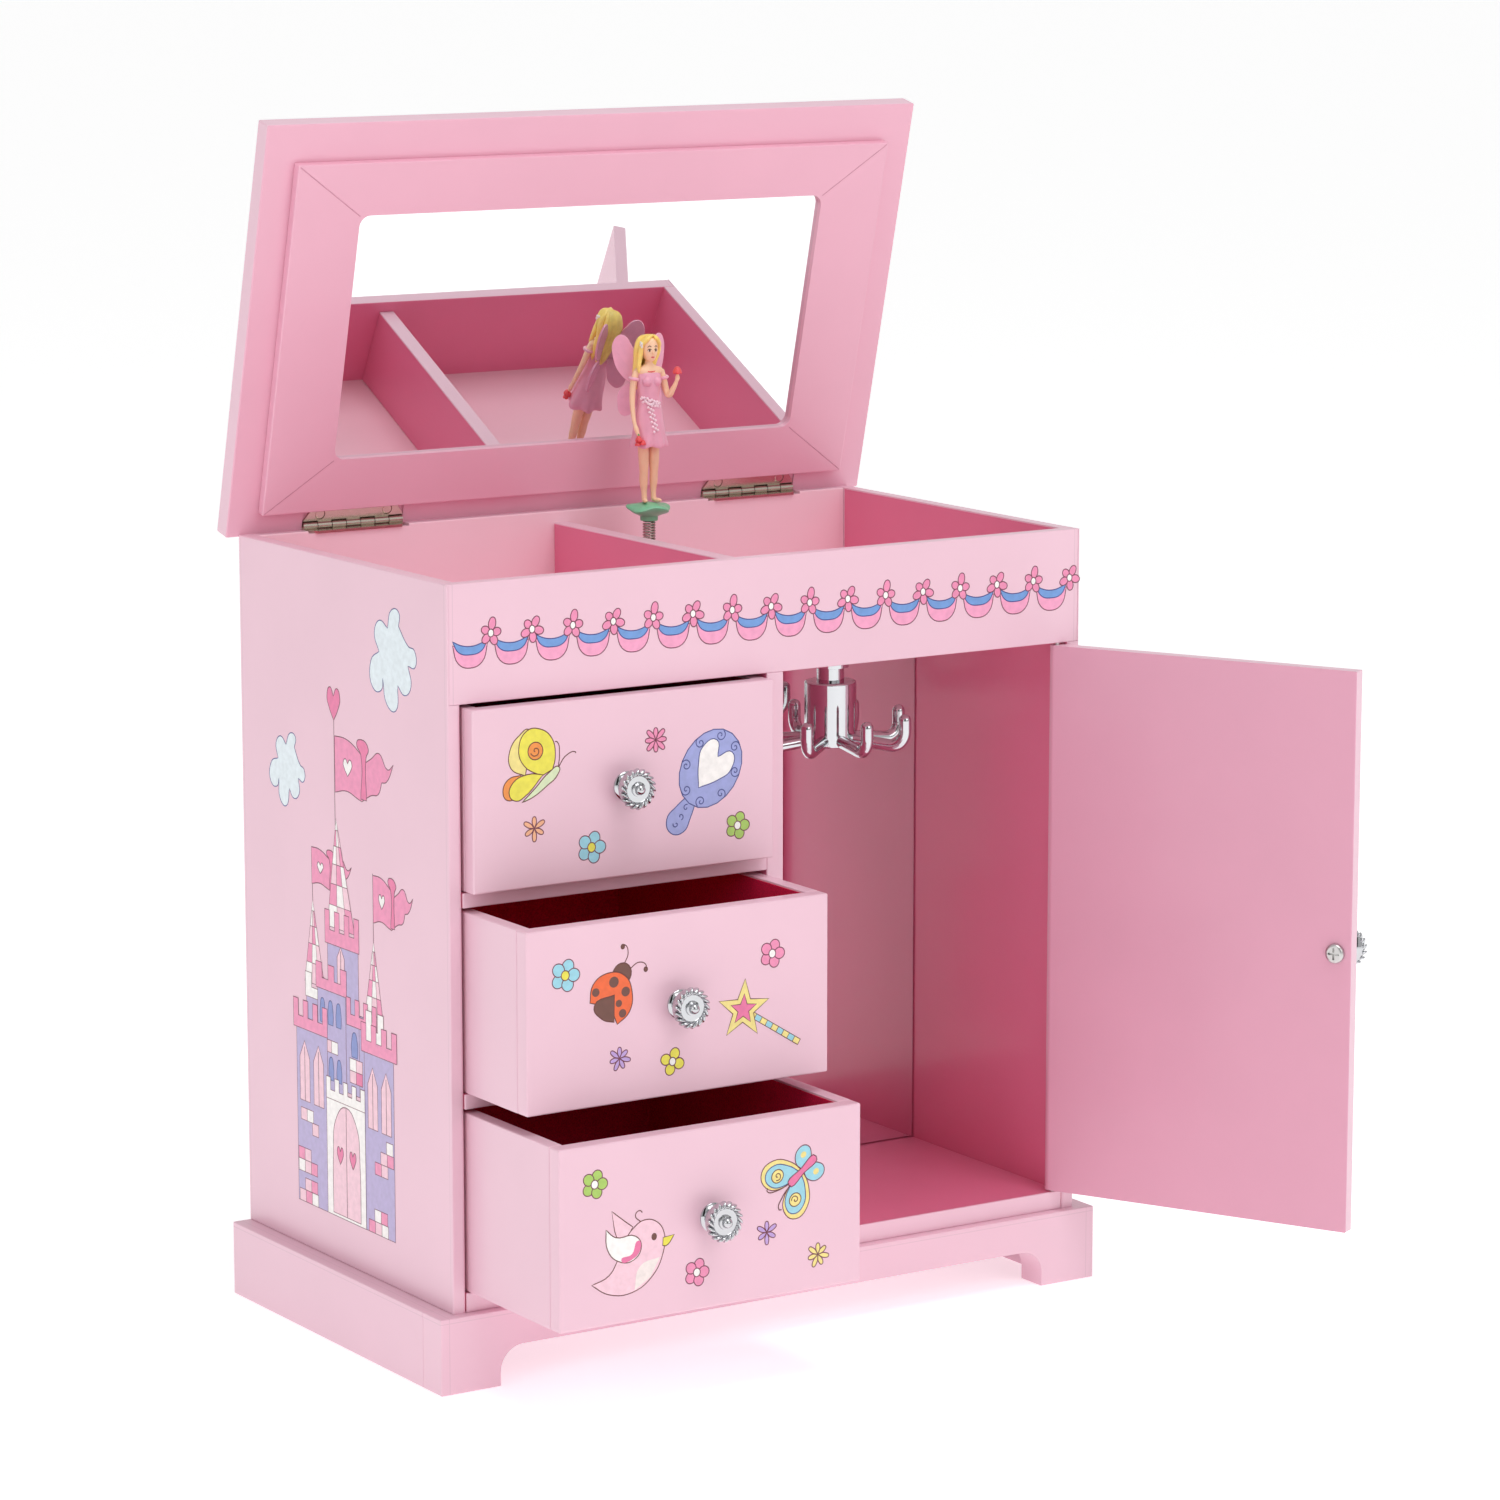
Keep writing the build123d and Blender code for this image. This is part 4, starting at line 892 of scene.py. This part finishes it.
# ---- Chrome knobs --------------------------------------------------------------------------------
# Moulded plastic under bright chrome: a flared foot, a thin neck, and a head with a twisted rope
# round its edge, a flat ring and a small button in the middle. One screw from behind holds each.
chrome, tree, shader = shader_of("bright_chrome_plating", "c6c7ca", 0.06, Metallic=1.0)
knob_rings = [
    (4.8, 0), (4.9, 0.7), (4.5, 1.1), (3.3, 1.6), (3.0, 2.4), (3.3, 3.2), (4.8, 3.9), (5.9, 4.8), (6.0, 5.6),
    (5.8, 6.4), (5.2, 7.2), (4.4, 7.7), (4.3, 7.6), (2.5, 7.6), (2.4, 8.2), (1.8, 8.4), (1.7, 9.1),
    (1.3, 9.9), (0.7, 10.35), (0.05, 10.5),
]
rope_radius = 5.45
rope_height = 7.0
rope_strands = 18
rope_lean = 38
strand_size = (0.66, 1.95, 1.7)


def lofted(rings, sides=40):
    """A closed solid through level rings: (half width, half depth, height, x, y) in mm."""
    rings = [(*ring, *(0, 0)[:5 - len(ring)]) for ring in rings]
    width, depth, height, x, y = rings[0]
    bpy.ops.object.select_all(action="DESELECT")
    bpy.ops.mesh.primitive_circle_add(vertices=sides, radius=mm, fill_type="NGON")
    bpy.ops.object.mode_set(mode="EDIT")
    bpy.ops.mesh.select_all(action="SELECT")
    bpy.ops.transform.resize(value=(width, depth, 1), center_override=(0, 0, 0))
    bpy.ops.transform.translate(value=(x * mm, y * mm, height * mm))
    for below, ring in zip(rings, rings[1:]):
        step = [(ring[axis] - below[axis]) * mm for axis in (3, 4, 2)]
        bpy.ops.mesh.extrude_region_move(TRANSFORM_OT_translate={"value": step})
        centre = (ring[3] * mm, ring[4] * mm, ring[2] * mm)
        bpy.ops.transform.resize(
            value=(ring[0] / below[0], ring[1] / below[1], 1), center_override=centre
        )
    bpy.ops.mesh.select_all(action="SELECT")
    bpy.ops.mesh.normals_make_consistent(inside=False)
    bpy.ops.object.mode_set(mode="OBJECT")
    bpy.ops.object.shade_smooth_by_angle(angle=radians(40))
    return bpy.context.object


def turned_piece(rings, sides=40):
    """A turned solid from (radius, height) rings in mm."""
    return lofted([(radius, radius, height) for radius, height in rings], sides)


def ball(place, size, turn=(0, 0, 0), segments=16):
    """A sphere stretched to half sizes and turned by degrees, in mm."""
    bpy.ops.object.select_all(action="DESELECT")
    bpy.ops.mesh.primitive_uv_sphere_add(
        segments=segments, ring_count=segments * 2 // 3, radius=1, location=Vector(place) * mm,
        rotation=[radians(angle) for angle in turn], scale=Vector(size) * mm,
    )
    bpy.ops.object.transform_apply(location=True, rotation=True, scale=True)
    bpy.ops.object.shade_smooth()
    return bpy.context.object


def joined(parts, material=None):
    """Join parts into one object, in one material if it is given."""
    if material:
        for part in parts:
            part.data.materials.clear()
            part.data.materials.append(material)
    bpy.ops.object.select_all(action="DESELECT")
    for part in parts:
        part.select_set(True)
    bpy.context.view_layer.objects.active = parts[0]
    bpy.ops.object.join()
    return bpy.context.object


strands = []
for strand in range(rope_strands):
    around = strand * 360 / rope_strands
    place = (rope_radius * cos(radians(around)), rope_radius * sin(radians(around)), rope_height)
    strands.append(ball(place, strand_size, (0, 0, around + rope_lean), 12))
model_knob = joined([turned_piece(knob_rings, 48)] + strands, chrome)
knob_seats = [("door", door_out)] + [(f"drawer_{number}", Vector((0, -1, 0))) for number in (1, 2, 3)]
first_low, first_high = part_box("drawer_1_knob")
knob_height = first_high[1] - first_low[1]
for body, out in knob_seats:
    low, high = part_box(f"{body}_knob")
    foot = (Vector(low) + Vector(high)) / 2 - out * knob_height / 2
    up = Vector((0, 0, 1))
    across = up.cross(out)
    turn = Matrix((
        (across.x, up.x, out.x, foot.x), (across.y, up.y, out.y, foot.y),
        (across.z, up.z, out.z, foot.z), (0, 0, 0, 1),
    ))
    bpy.ops.object.select_all(action="DESELECT")
    model_knob.select_set(True)
    bpy.context.view_layer.objects.active = model_knob
    bpy.ops.object.duplicate()
    bpy.context.object.data.transform(turn)
    finished(f"{body}_rope_knob", body, "chrome", f"{body}_knob")
bpy.data.objects.remove(model_knob)
screw_steel, tree, shader = shader_of("zinc_plated_screw_steel", "c9c8c6", 0.28, Metallic=1.0)
finish(screw_steel, "drawer_1_screw", "drawer_2_screw", "drawer_3_screw", "door_knob_screw")

# ---- Hinges --------------------------------------------------------------------------------------
# Two stamped butt hinges in nickel-plated steel: a warm, slightly rolled surface, with round-head
# screws of the same. The door turns on two plain steel pins.
rolled_grain = 1 / (0.4 * mm)


def worked_metal(name, colour, roughness, grain, depth, stretch=(1, 1, 1)):
    """A bare or plated metal with the marks of its making, in metres of scale and depth."""
    material, tree, shader = shader_of(name, colour, roughness, Metallic=1.0)
    where = add_node(tree, "Mapping", {0: add_node(tree, "TexCoord").outputs["Object"], "Scale": stretch})
    marks = add_node(tree, "TexNoise", {"Vector": where.outputs[0], "Scale": grain, "Detail": 3.0})
    gloss = add_node(
        tree, "MapRange", {0: marks.outputs[0], 1: 0.3, 2: 0.7, 3: roughness * 0.8, 4: roughness * 1.25}
    )
    tree.links.new(gloss.outputs[0], shader.inputs["Roughness"])
    relief = add_node(tree, "Bump", {"Height": marks.outputs[0], "Strength": 0.4, "Distance": depth})
    tree.links.new(relief.outputs[0], shader.inputs["Normal"])
    return material


nickel = worked_metal("rolled_nickel_plated_steel", "cdc2b4", 0.2, rolled_grain, 0.02 * mm, (0.2, 1, 1))
finish(nickel, "hinge_leaves_case", "hinge_leaves_lid", "hinge_pins", "hinge_screws_case",
       "hinge_screws_lid")
finish(screw_steel, "door_pins")

# ---- Necklace carousel ---------------------------------------------------------------------------
# A chromed hub with eight upturned hooks turns on a stud screwed under the tray. The plating is
# the same bright chrome as the knobs, a touch softer where moulding left a slight ripple.
carousel_chrome = worked_metal("rippled_chrome_plating", "cfd0d3", 0.05, 1 / (6 * mm), 0.05 * mm)
finish(carousel_chrome, "carousel_stud", "carousel_hub", "carousel_hooks")

# ---- Coil spring ---------------------------------------------------------------------------------
# Close-wound steel wire between the movement's spindle and the doll's base. The real spring bends
# right over when the lid comes down; here it is drawn straight and is not attached to the case or the doll.
spring_low, spring_high = [Vector(corner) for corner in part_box("figurine_spring")]
spring_middle = (spring_low + spring_high) / 2
wire = 0.8 * mm
coil_radius = (spring_high.x - spring_low.x) / 2 - wire / 2
coil_pitch = 0.96 * mm
steps_per_turn = 14
turns = (spring_high.z - spring_low.z - wire) / coil_pitch
data = bpy.data.curves.new("coil", "CURVE")
data.dimensions = "3D"
data.bevel_depth = wire / 2
data.bevel_resolution = 1
data.use_fill_caps = True
coil = data.splines.new("POLY")
steps = int(turns * steps_per_turn)
coil.points.add(steps)
for step, knot in enumerate(coil.points):
    around = 2 * pi * step / steps_per_turn
    rise = spring_low.z + wire / 2 + coil_pitch * step / steps_per_turn
    knot.co = (spring_middle.x + coil_radius * cos(around),
               spring_middle.y + coil_radius * sin(around), rise, 1)
coil_object = bpy.data.objects.new("coil", data)
bpy.context.collection.objects.link(coil_object)
bpy.ops.object.select_all(action="DESELECT")
coil_object.select_set(True)
bpy.context.view_layer.objects.active = coil_object
bpy.ops.object.convert(target="MESH")
bpy.ops.object.shade_smooth()
spring_steel, tree, shader = shader_of("drawn_spring_steel_wire", "b9b2a8", 0.24, Metallic=1.0)
bpy.context.object.data.materials.append(spring_steel)
spring_piece = bpy.context.object
spring_piece.name = "doll_coil_spring"
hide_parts("figurine_spring")
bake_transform(spring_piece)

# ---- Leaf base -----------------------------------------------------------------------------------
# The doll stands on a moulded leaf in soft green, wavy at its rim, with a socket that is pressed
# over the spring's last turns.
leaf_low, leaf_high = [Vector(corner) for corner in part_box("leaf_base")]
doll_foot = (leaf_low + leaf_high) / 2
doll_foot.z = leaf_high.z


def moulded(name, colour, roughness=0.42, mottle=0.05):
    """Painted soft PVC: a slightly uneven colour and a faint skin that light sinks into."""
    material, tree, shader = shader_of(name, colour, roughness, IOR=1.5)
    shader.inputs["Subsurface Weight"].default_value = 0.12
    shader.inputs["Subsurface Scale"].default_value = 0.8 * mm
    shader.inputs["Subsurface Radius"].default_value = (1.0, 0.5, 0.4)
    where = add_node(tree, "TexCoord").outputs["Object"]
    blotch = add_node(tree, "TexNoise", {"Vector": where, "Scale": 1 / (2.5 * mm), "Detail": 3.0})
    uneven(tree, shader, blotch, colour, 1 - mottle, 1 + mottle)
    relief = add_node(tree, "Bump", {"Height": blotch.outputs[0], "Strength": 0.3, "Distance": 0.05 * mm})
    tree.links.new(relief.outputs[0], shader.inputs["Normal"])
    return material


leaf_height = (leaf_high.z - leaf_low.z) / mm
leaf_rings = [
    (3.1, -leaf_height), (3.2, -5.0), (4.6, -4.3), (6.8, -3.4), (8.0, -2.7), (8.2, -2.2), (7.8, -1.7),
    (5.6, -1.0), (3.0, -0.3), (0.1, 0.0),
]
flat_middle = 4
rim_wave = 0.75
notch_depth = 0.07
leaf = turned_piece(leaf_rings, 60)
for knot in leaf.data.vertices:
    reach = hypot(knot.co.x, knot.co.y) / mm
    around = Vector((knot.co.x, knot.co.y)).angle_signed(Vector((1, 0)), 0)
    rim = max(0.0, reach / flat_middle - 1)
    knot.co.z += rim_wave * mm * rim * sin(3 * around + 0.6)
    knot.co.x *= 1 - notch_depth * rim * (1 - cos(5 * around))
    knot.co.y *= 1 - notch_depth * rim * (1 - cos(5 * around))
leaf.data.materials.append(moulded("painted_green_pvc_leaf", "7cc79c", 0.3))
leaf.data.transform(Matrix.Translation(doll_foot))
finished("wavy_leaf_base", "dancer", "leaf_plastic", "leaf_base")

# ---- Doll ----------------------------------------------------------------------------------------
# A small fairy moulded in soft PVC and painted by hand: barefoot, in an off-shoulder pink dress
# strung with beads, with long fair hair, roses in both hands and a calm doll's face.
doll_turn = radians(-6)
doll_place = Matrix.Translation(doll_foot) @ Matrix.Rotation(doll_turn, 4, "Z")
skin_paint = moulded("painted_pvc_skin", "ffd2ae", 0.38, 0.03)
dress_paint = moulded("painted_pvc_dress", "efa9c0", 0.3, 0.03)
hair_paint = moulded("painted_pvc_fair_hair", "ffdc78", 0.4, 0.1)
rose_paint = moulded("painted_pvc_rose_red", "f4585c", 0.4, 0.08)
sleeve_paint = moulded("painted_pvc_sleeve", "f4b6c9", 0.3, 0.03)
bead_paint = moulded("painted_pvc_pale_bead", "ffe0ea", 0.3, 0.03)
stem_paint = moulded("painted_pvc_leaf_green", "5f9e5a", 0.4, 0.08)
line_paint = moulded("painted_face_line_brown", "5a3a2c", 0.4, 0.02)
white_paint = moulded("painted_white_petal", "f6ece6", 0.4, 0.02)
lip_paint = moulded("painted_lip_rose", "d8646a", 0.35, 0.02)


def limb(knots, material, resolution=3):
    """A smooth tapering tube through (x, y, z, radius) knots in mm, closed at its ends."""
    data = bpy.data.curves.new("limb", "CURVE")
    data.dimensions = "3D"
    data.bevel_depth = mm
    data.bevel_resolution = resolution
    data.use_fill_caps = True
    data.resolution_u = 6
    spline = data.splines.new("BEZIER")
    spline.bezier_points.add(len(knots) - 1)
    for point, (x, y, z, radius) in zip(spline.bezier_points, knots):
        point.co = (x * mm, y * mm, z * mm)
        point.handle_left_type = point.handle_right_type = "AUTO"
        point.radius = radius
    piece = bpy.data.objects.new("limb", data)
    bpy.context.collection.objects.link(piece)
    bpy.ops.object.select_all(action="DESELECT")
    piece.select_set(True)
    bpy.context.view_layer.objects.active = piece
    bpy.ops.object.convert(target="MESH")
    bpy.ops.object.shade_smooth()
    piece = bpy.context.object
    piece.data.materials.append(material)
    return piece


def painted(piece, material):
    """Paint a whole piece in one material."""
    piece.data.materials.clear()
    piece.data.materials.append(material)
    return piece


doll = []
dress_rings = [
    (5.0, 3.9, 20.2), (6.5, 5.3, 19.6), (6.7, 5.5, 20.2), (6.4, 5.2, 21.6), (5.9, 4.8, 24), (5.4, 4.3, 28),
    (4.9, 3.8, 31.5), (3.9, 3.0, 35.9), (3.9, 3.0, 37.8), (4.4, 3.5, 41.4, 0, -0.2),
    (4.5, 3.4, 43.4, 0, -0.1), (4.4, 3.0, 44.9), (4.0, 2.6, 45.5),
]
flutes_from = 27
flutes_drop = 7
flute_depth = 0.1
dress = lofted(dress_rings, 72)
for knot in dress.data.vertices:
    around = Vector((knot.co.x, knot.co.y)).angle_signed(Vector((1, 0)), 0)
    flare = max(0.0, (flutes_from - knot.co.z / mm) / flutes_drop)
    knot.co.x *= 1 + flute_depth * flare * cos(6 * around + 0.5)
    knot.co.y *= 1 + flute_depth * flare * cos(6 * around + 0.5)
    knot.co.z += 0.3 * mm * flare * sin(6 * around)
doll.append(painted(dress, dress_paint))
for side in (-1, 1):
    doll.append(painted(ball((side * 1.75, -2.4, 42.4), (1.9, 1.9, 1.9)), dress_paint))
shoulder_rings = [
    (3.4, 2.0, 43.8), (4.6, 2.5, 45.2), (5.6, 2.3, 46.2), (5.0, 2.1, 47.0), (2.6, 1.7, 47.8),
    (1.5, 1.4, 48.6), (1.3, 1.3, 49.6), (1.35, 1.35, 52),
]
head_rings = [
    (0.5, 0.6, 49.3, 0, -1.7), (1.3, 1.7, 49.6, 0, -1.1), (2.0, 2.6, 50.5, 0, -0.7),
    (2.7, 3.3, 51.9, 0, -0.3), (3.1, 3.6, 53.4), (3.2, 3.7, 55.0), (2.9, 3.4, 56.6), (2.0, 2.4, 57.6),
    (0.9, 1.1, 58.0),
]
doll.append(painted(lofted(shoulder_rings, 32), skin_paint))
doll.append(painted(lofted(head_rings, 32), skin_paint))
doll.append(painted(ball((0, -3.75, 52.5), (0.36, 0.45, 0.75)), skin_paint))
doll.append(painted(ball((0, -3.45, 51.0), (0.7, 0.36, 0.3)), lip_paint))
for side in (-1, 1):
    doll.append(painted(ball((side * 1.2, -3.3, 53.3), (0.6, 0.2, 0.3)), white_paint))
    doll.append(painted(ball((side * 1.18, -3.42, 53.3), (0.36, 0.16, 0.36)), line_paint))
    doll.append(limb([(side * 0.55, -3.5, 53.66, 0.1), (side * 1.2, -3.45, 53.84, 0.17),
                      (side * 1.85, -3.0, 53.5, 0.08)], line_paint, 1))
    doll.append(limb([(side * 0.6, -3.55, 54.6, 0.12), (side * 1.2, -3.45, 54.95, 0.16),
                      (side * 1.9, -3.0, 54.4, 0.05)], line_paint, 1))
    doll.append(limb([(side * 2.2, 0.2, 22, 2.0), (side * 2.0, 0, 14, 1.8), (side * 1.95, 0.1, 10.5, 1.5),
                      (side * 1.95, 0.3, 7.5, 1.5), (side * 1.8, 0.2, 3.0, 0.95), (side * 1.8, 0, 1.2, 1.0),
                      (side * 1.8, 0, 0.4, 0.8)], skin_paint))
    doll.append(painted(ball((side * 2.3, -1.5, 0.75), (0.95, 2.4, 0.75), (0, 0, side * 16)), skin_paint))
lowered_arm = [
    (-4.7, 0, 46.0, 1.2), (-5.6, 0.2, 42.5, 1.25), (-6.3, 0.0, 37.5, 1.05), (-6.6, -1.0, 32, 0.85),
    (-6.4, -2.2, 27.6, 0.65), (-6.2, -2.8, 26.2, 0.85), (-5.8, -3.5, 24.2, 0.6), (-5.6, -3.8, 23.4, 0.2),
]
raised_arm = [
    (4.7, 0, 46.0, 1.2), (5.9, 0.0, 42.0, 1.25), (6.6, -0.8, 38.4, 1.15), (6.9, -1.8, 37.4, 1.1),
    (7.8, -3.4, 39.6, 0.95), (8.6, -4.6, 42.4, 0.65), (8.8, -4.9, 43.6, 0.85), (8.8, -4.9, 44.8, 0.5),
]
doll += [limb(lowered_arm, skin_paint), limb(raised_arm, skin_paint)]
for side in (-1, 1):
    bpy.ops.object.select_all(action="DESELECT")
    bpy.ops.mesh.primitive_torus_add(major_radius=1.4 * mm, minor_radius=0.62 * mm, major_segments=28,
                                     minor_segments=10, location=(side * 5.6 * mm, 0, 43.4 * mm),
                                     rotation=(0, radians(side * -10), 0))
    bpy.ops.object.transform_apply(location=True, rotation=True, scale=True)
    bpy.ops.object.shade_smooth()
    doll.append(painted(bpy.context.object, sleeve_paint))
beads = []
for place in range(26):
    share = place / 25
    sway = sin(place * 2.4)
    beads.append((-3.7 + 7.2 * share, -1.6 - 2.0 * sin(pi * share), 36.4 - 2.6 * share + 0.9 * sway))
for place in range(18):
    share = place / 17
    beads.append((-1.4 + 2.0 * share + 0.9 * sin(place * 2.1), -3.6 - 1.1 * share, 34.6 - 9.6 * share))
for place in beads:
    doll.append(painted(ball(place, (0.52, 0.52, 0.52), segments=10), bead_paint))
for place in range(11):
    around = radians(-52 + 104 * place / 10)
    doll.append(painted(ball((3.1 * sin(around), 0.2 - 2.5 * cos(around), 47.7 - 1.9 * cos(around)),
                             (0.34, 0.3, 0.3), segments=8), rose_paint))


def rose(x, y, z, size):
    """A rose: a round heart inside two turned rings of petals."""
    petals = [ball((x, y, z), (size * 0.62, size * 0.62, size * 0.75))]
    for ring, (count, reach, lift) in enumerate(((4, 0.42, 0.12), (5, 0.58, -0.16))):
        for petal_place in range(count):
            around = radians(360 * petal_place / count + 40 * ring)
            petals.append(ball(
                (x + size * reach * cos(around), y + size * reach * sin(around), z + size * lift),
                (size * 0.2, size * 0.52, size * 0.55), (0, -18, degrees(around)), 10))
    return [painted(piece, rose_paint) for piece in petals]


doll += rose(8.7, -5.0, 46.2, 1.9)
for x, y, z, size in ((-5.9, -4.2, 22.8, 1.5), (-4.6, -4.8, 21.6, 1.3), (-6.2, -4.0, 21.2, 1.2)):
    doll += rose(x, y, z, size)
stem = [(-6.4, -2.6, 26.6, 0.2), (-5.9, -3.8, 24.4, 0.3), (-5.4, -4.4, 22.6, 0.3)]
doll.append(limb(stem, stem_paint, 1))
doll.append(painted(ball((0, 0.75, 54.9), (3.75, 3.7, 3.85), segments=24), hair_paint))
for place in range(9):
    across = -1 + 2 * place / 8
    out = 3.9 * across
    back = 0.9 + 3.2 * (1 - across * across) ** 0.5
    back_lock = [
        (out * 0.25, -0.6, 58.4, 0.5), (out * 0.75, back * 0.55, 57.2, 0.95), (out, back, 53.5, 1.25),
        (out * 0.85 - 0.5, back + 0.5, 49.5, 1.2), (out * 0.7 - 1.3, back + 0.6, 45.5, 1.1),
        (out * 0.55 - 1.8, back + 0.4, 41.5, 0.8), (out * 0.4 - 2.0, back + 0.2, 39.4, 0.2),
    ]
    doll.append(limb(back_lock, hair_paint, 2))
for side, ear in ((-1, 50.5), (1, 53.0)):
    for lock in range(3):
        swept = [
            (0.9, -1.4 + lock * 0.6, 58.5, 0.35), (side * 1.5 + 0.2, -2.8 + lock * 0.7, 57.6, 0.7),
            (side * 2.9, -2.2 + lock * 0.7, 56.0, 0.8), (side * 3.5, -0.9 + lock * 0.7, 54.4, 0.8),
            (side * 3.5, 0.6 + lock * 0.6, ear, 0.6),
        ]
        doll.append(limb(swept, hair_paint, 2))
doll.append(limb([(-3.4, -1.4, 55, 0.8), (-3.9, -1.3, 51.5, 1.0), (-4.4, -1.2, 48.2, 0.9),
                  (-4.6, -1.8, 45.6, 0.3)], hair_paint, 2))
for petal_place in range(5):
    around = radians(72 * petal_place)
    doll.append(painted(ball((-3.7, -1.7 + 0.8 * cos(around), 55.2 + 0.8 * sin(around)), (0.35, 0.6, 0.6),
                             segments=10), white_paint))
doll.append(painted(ball((-4.0, -1.8, 55.2), (0.3, 0.35, 0.35), segments=10), bead_paint))
joined(doll)
bpy.context.object.data.transform(doll_place)
finished("fairy_doll", "dancer", "doll_plastic", "dancer")

# ---- Wings ---------------------------------------------------------------------------------------
# Two flat moulded wings, glued between the doll's shoulder blades, with raised ribs that fan out
# from the root.
wing_sheet = 0.5
wing_root = (0.9, 2.9, 40.6)
wing_sweep = 32
wing_paint = moulded("moulded_pink_pvc_wing", "f0a9c4", 0.26, 0.03)
wing_lobes = (
    [(0, 0, 1), (1.2, 6.6), (3.8, 13.8), (7.2, 17.6), (9.8, 16.0), (10.2, 9.6), (7.2, 3.4), (2.2, 0.4)],
    [(0, 1, 1), (4.0, 0.8), (7.8, -1.4), (8.8, -6), (7.2, -10.4), (4.0, -9.6), (1.4, -4.6)],
)
wing_ribs = (
    [(0.6, 1), (4.2, 8), (7.8, 14.6)], [(0.8, 0.9), (5, 6), (8.8, 11.4)], [(0.9, 0.6), (5.4, 3.6), (8.4, 8)],
    [(0.6, 0), (4.4, -1.6), (7.4, -4.4)], [(0.5, -0.4), (3.4, -4), (6.2, -8.4)],
)
wings = []
for side in (-1, 1):
    flat = []
    for lobe in wing_lobes:
        sheet = curve_piece(lobe, True, True, 0)
        sheet.data.extrude = wing_sheet / 2 * mm
        sheet.data.bevel_depth = 0.1 * mm
        flat.append(sheet)
    for rib in wing_ribs:
        for face in (-1, 1):
            raised = curve_piece(rib, False, False, face * wing_sheet / 2)
            raised.scale.z = 1  # a rib is round, where a printed line is flat
            flat.append(raised)
    bpy.ops.object.select_all(action="DESELECT")
    for part in flat:
        part.select_set(True)
    bpy.context.view_layer.objects.active = flat[0]
    bpy.ops.object.convert(target="MESH")
    bpy.ops.object.transform_apply(location=True, rotation=True, scale=True)
    bpy.ops.object.join()
    wing = bpy.context.object
    stand = Matrix.Rotation(radians(90), 4, "X")
    if side < 0:
        stand = Matrix.Rotation(pi, 4, "Z") @ stand
    sweep_back = Matrix.Rotation(radians(side * wing_sweep), 4, "Z")
    root = Matrix.Translation(Vector((side * wing_root[0], wing_root[1], wing_root[2])) * mm)
    wing.data.transform(root @ sweep_back @ stand)
    wings.append(wing)
joined(wings, wing_paint)
bpy.ops.object.mode_set(mode="EDIT")
bpy.ops.mesh.select_all(action="SELECT")
bpy.ops.mesh.remove_doubles(threshold=0.01 * mm)
bpy.ops.mesh.normals_make_consistent(inside=False)
bpy.ops.object.mode_set(mode="OBJECT")
bpy.context.object.data.transform(doll_place)
finished("ribbed_wings", "dancer", "wing_plastic", "dancer_wings")

# ---- Music movement ------------------------------------------------------------------------------
# A small wind-up movement behind the cabinet's back board: a die-cast zinc frame, brass pin drum,
# wheels and barrel, a ground steel comb and a blued mainspring. The key is nickel-plated steel.
cast_zinc = worked_metal("die_cast_zinc", "b4b6ba", 0.42, 1 / (0.8 * mm), 0.03 * mm)
turned_brass = worked_metal("turned_brass", "e0bd6e", 0.22, 1 / (0.3 * mm), 0.01 * mm, (0.3, 0.3, 4))
ground_steel = worked_metal("ground_comb_steel", "c4c6ca", 0.25, 1 / (0.25 * mm), 0.01 * mm, (6, 1, 0.4))
blued_steel = worked_metal("blued_mainspring_steel", "4e5a78", 0.25, 1 / (0.5 * mm), 0.01 * mm)
finish(cast_zinc, "movement_frame")
finish(turned_brass, "music_cylinder", "great_wheel", "governor", "spring_barrel", "spindle_bush")
finish(ground_steel, "comb")
finish(blued_steel, "mainspring")
finish(screw_steel, "movement_screws")
finish(nickel, "winding_key")
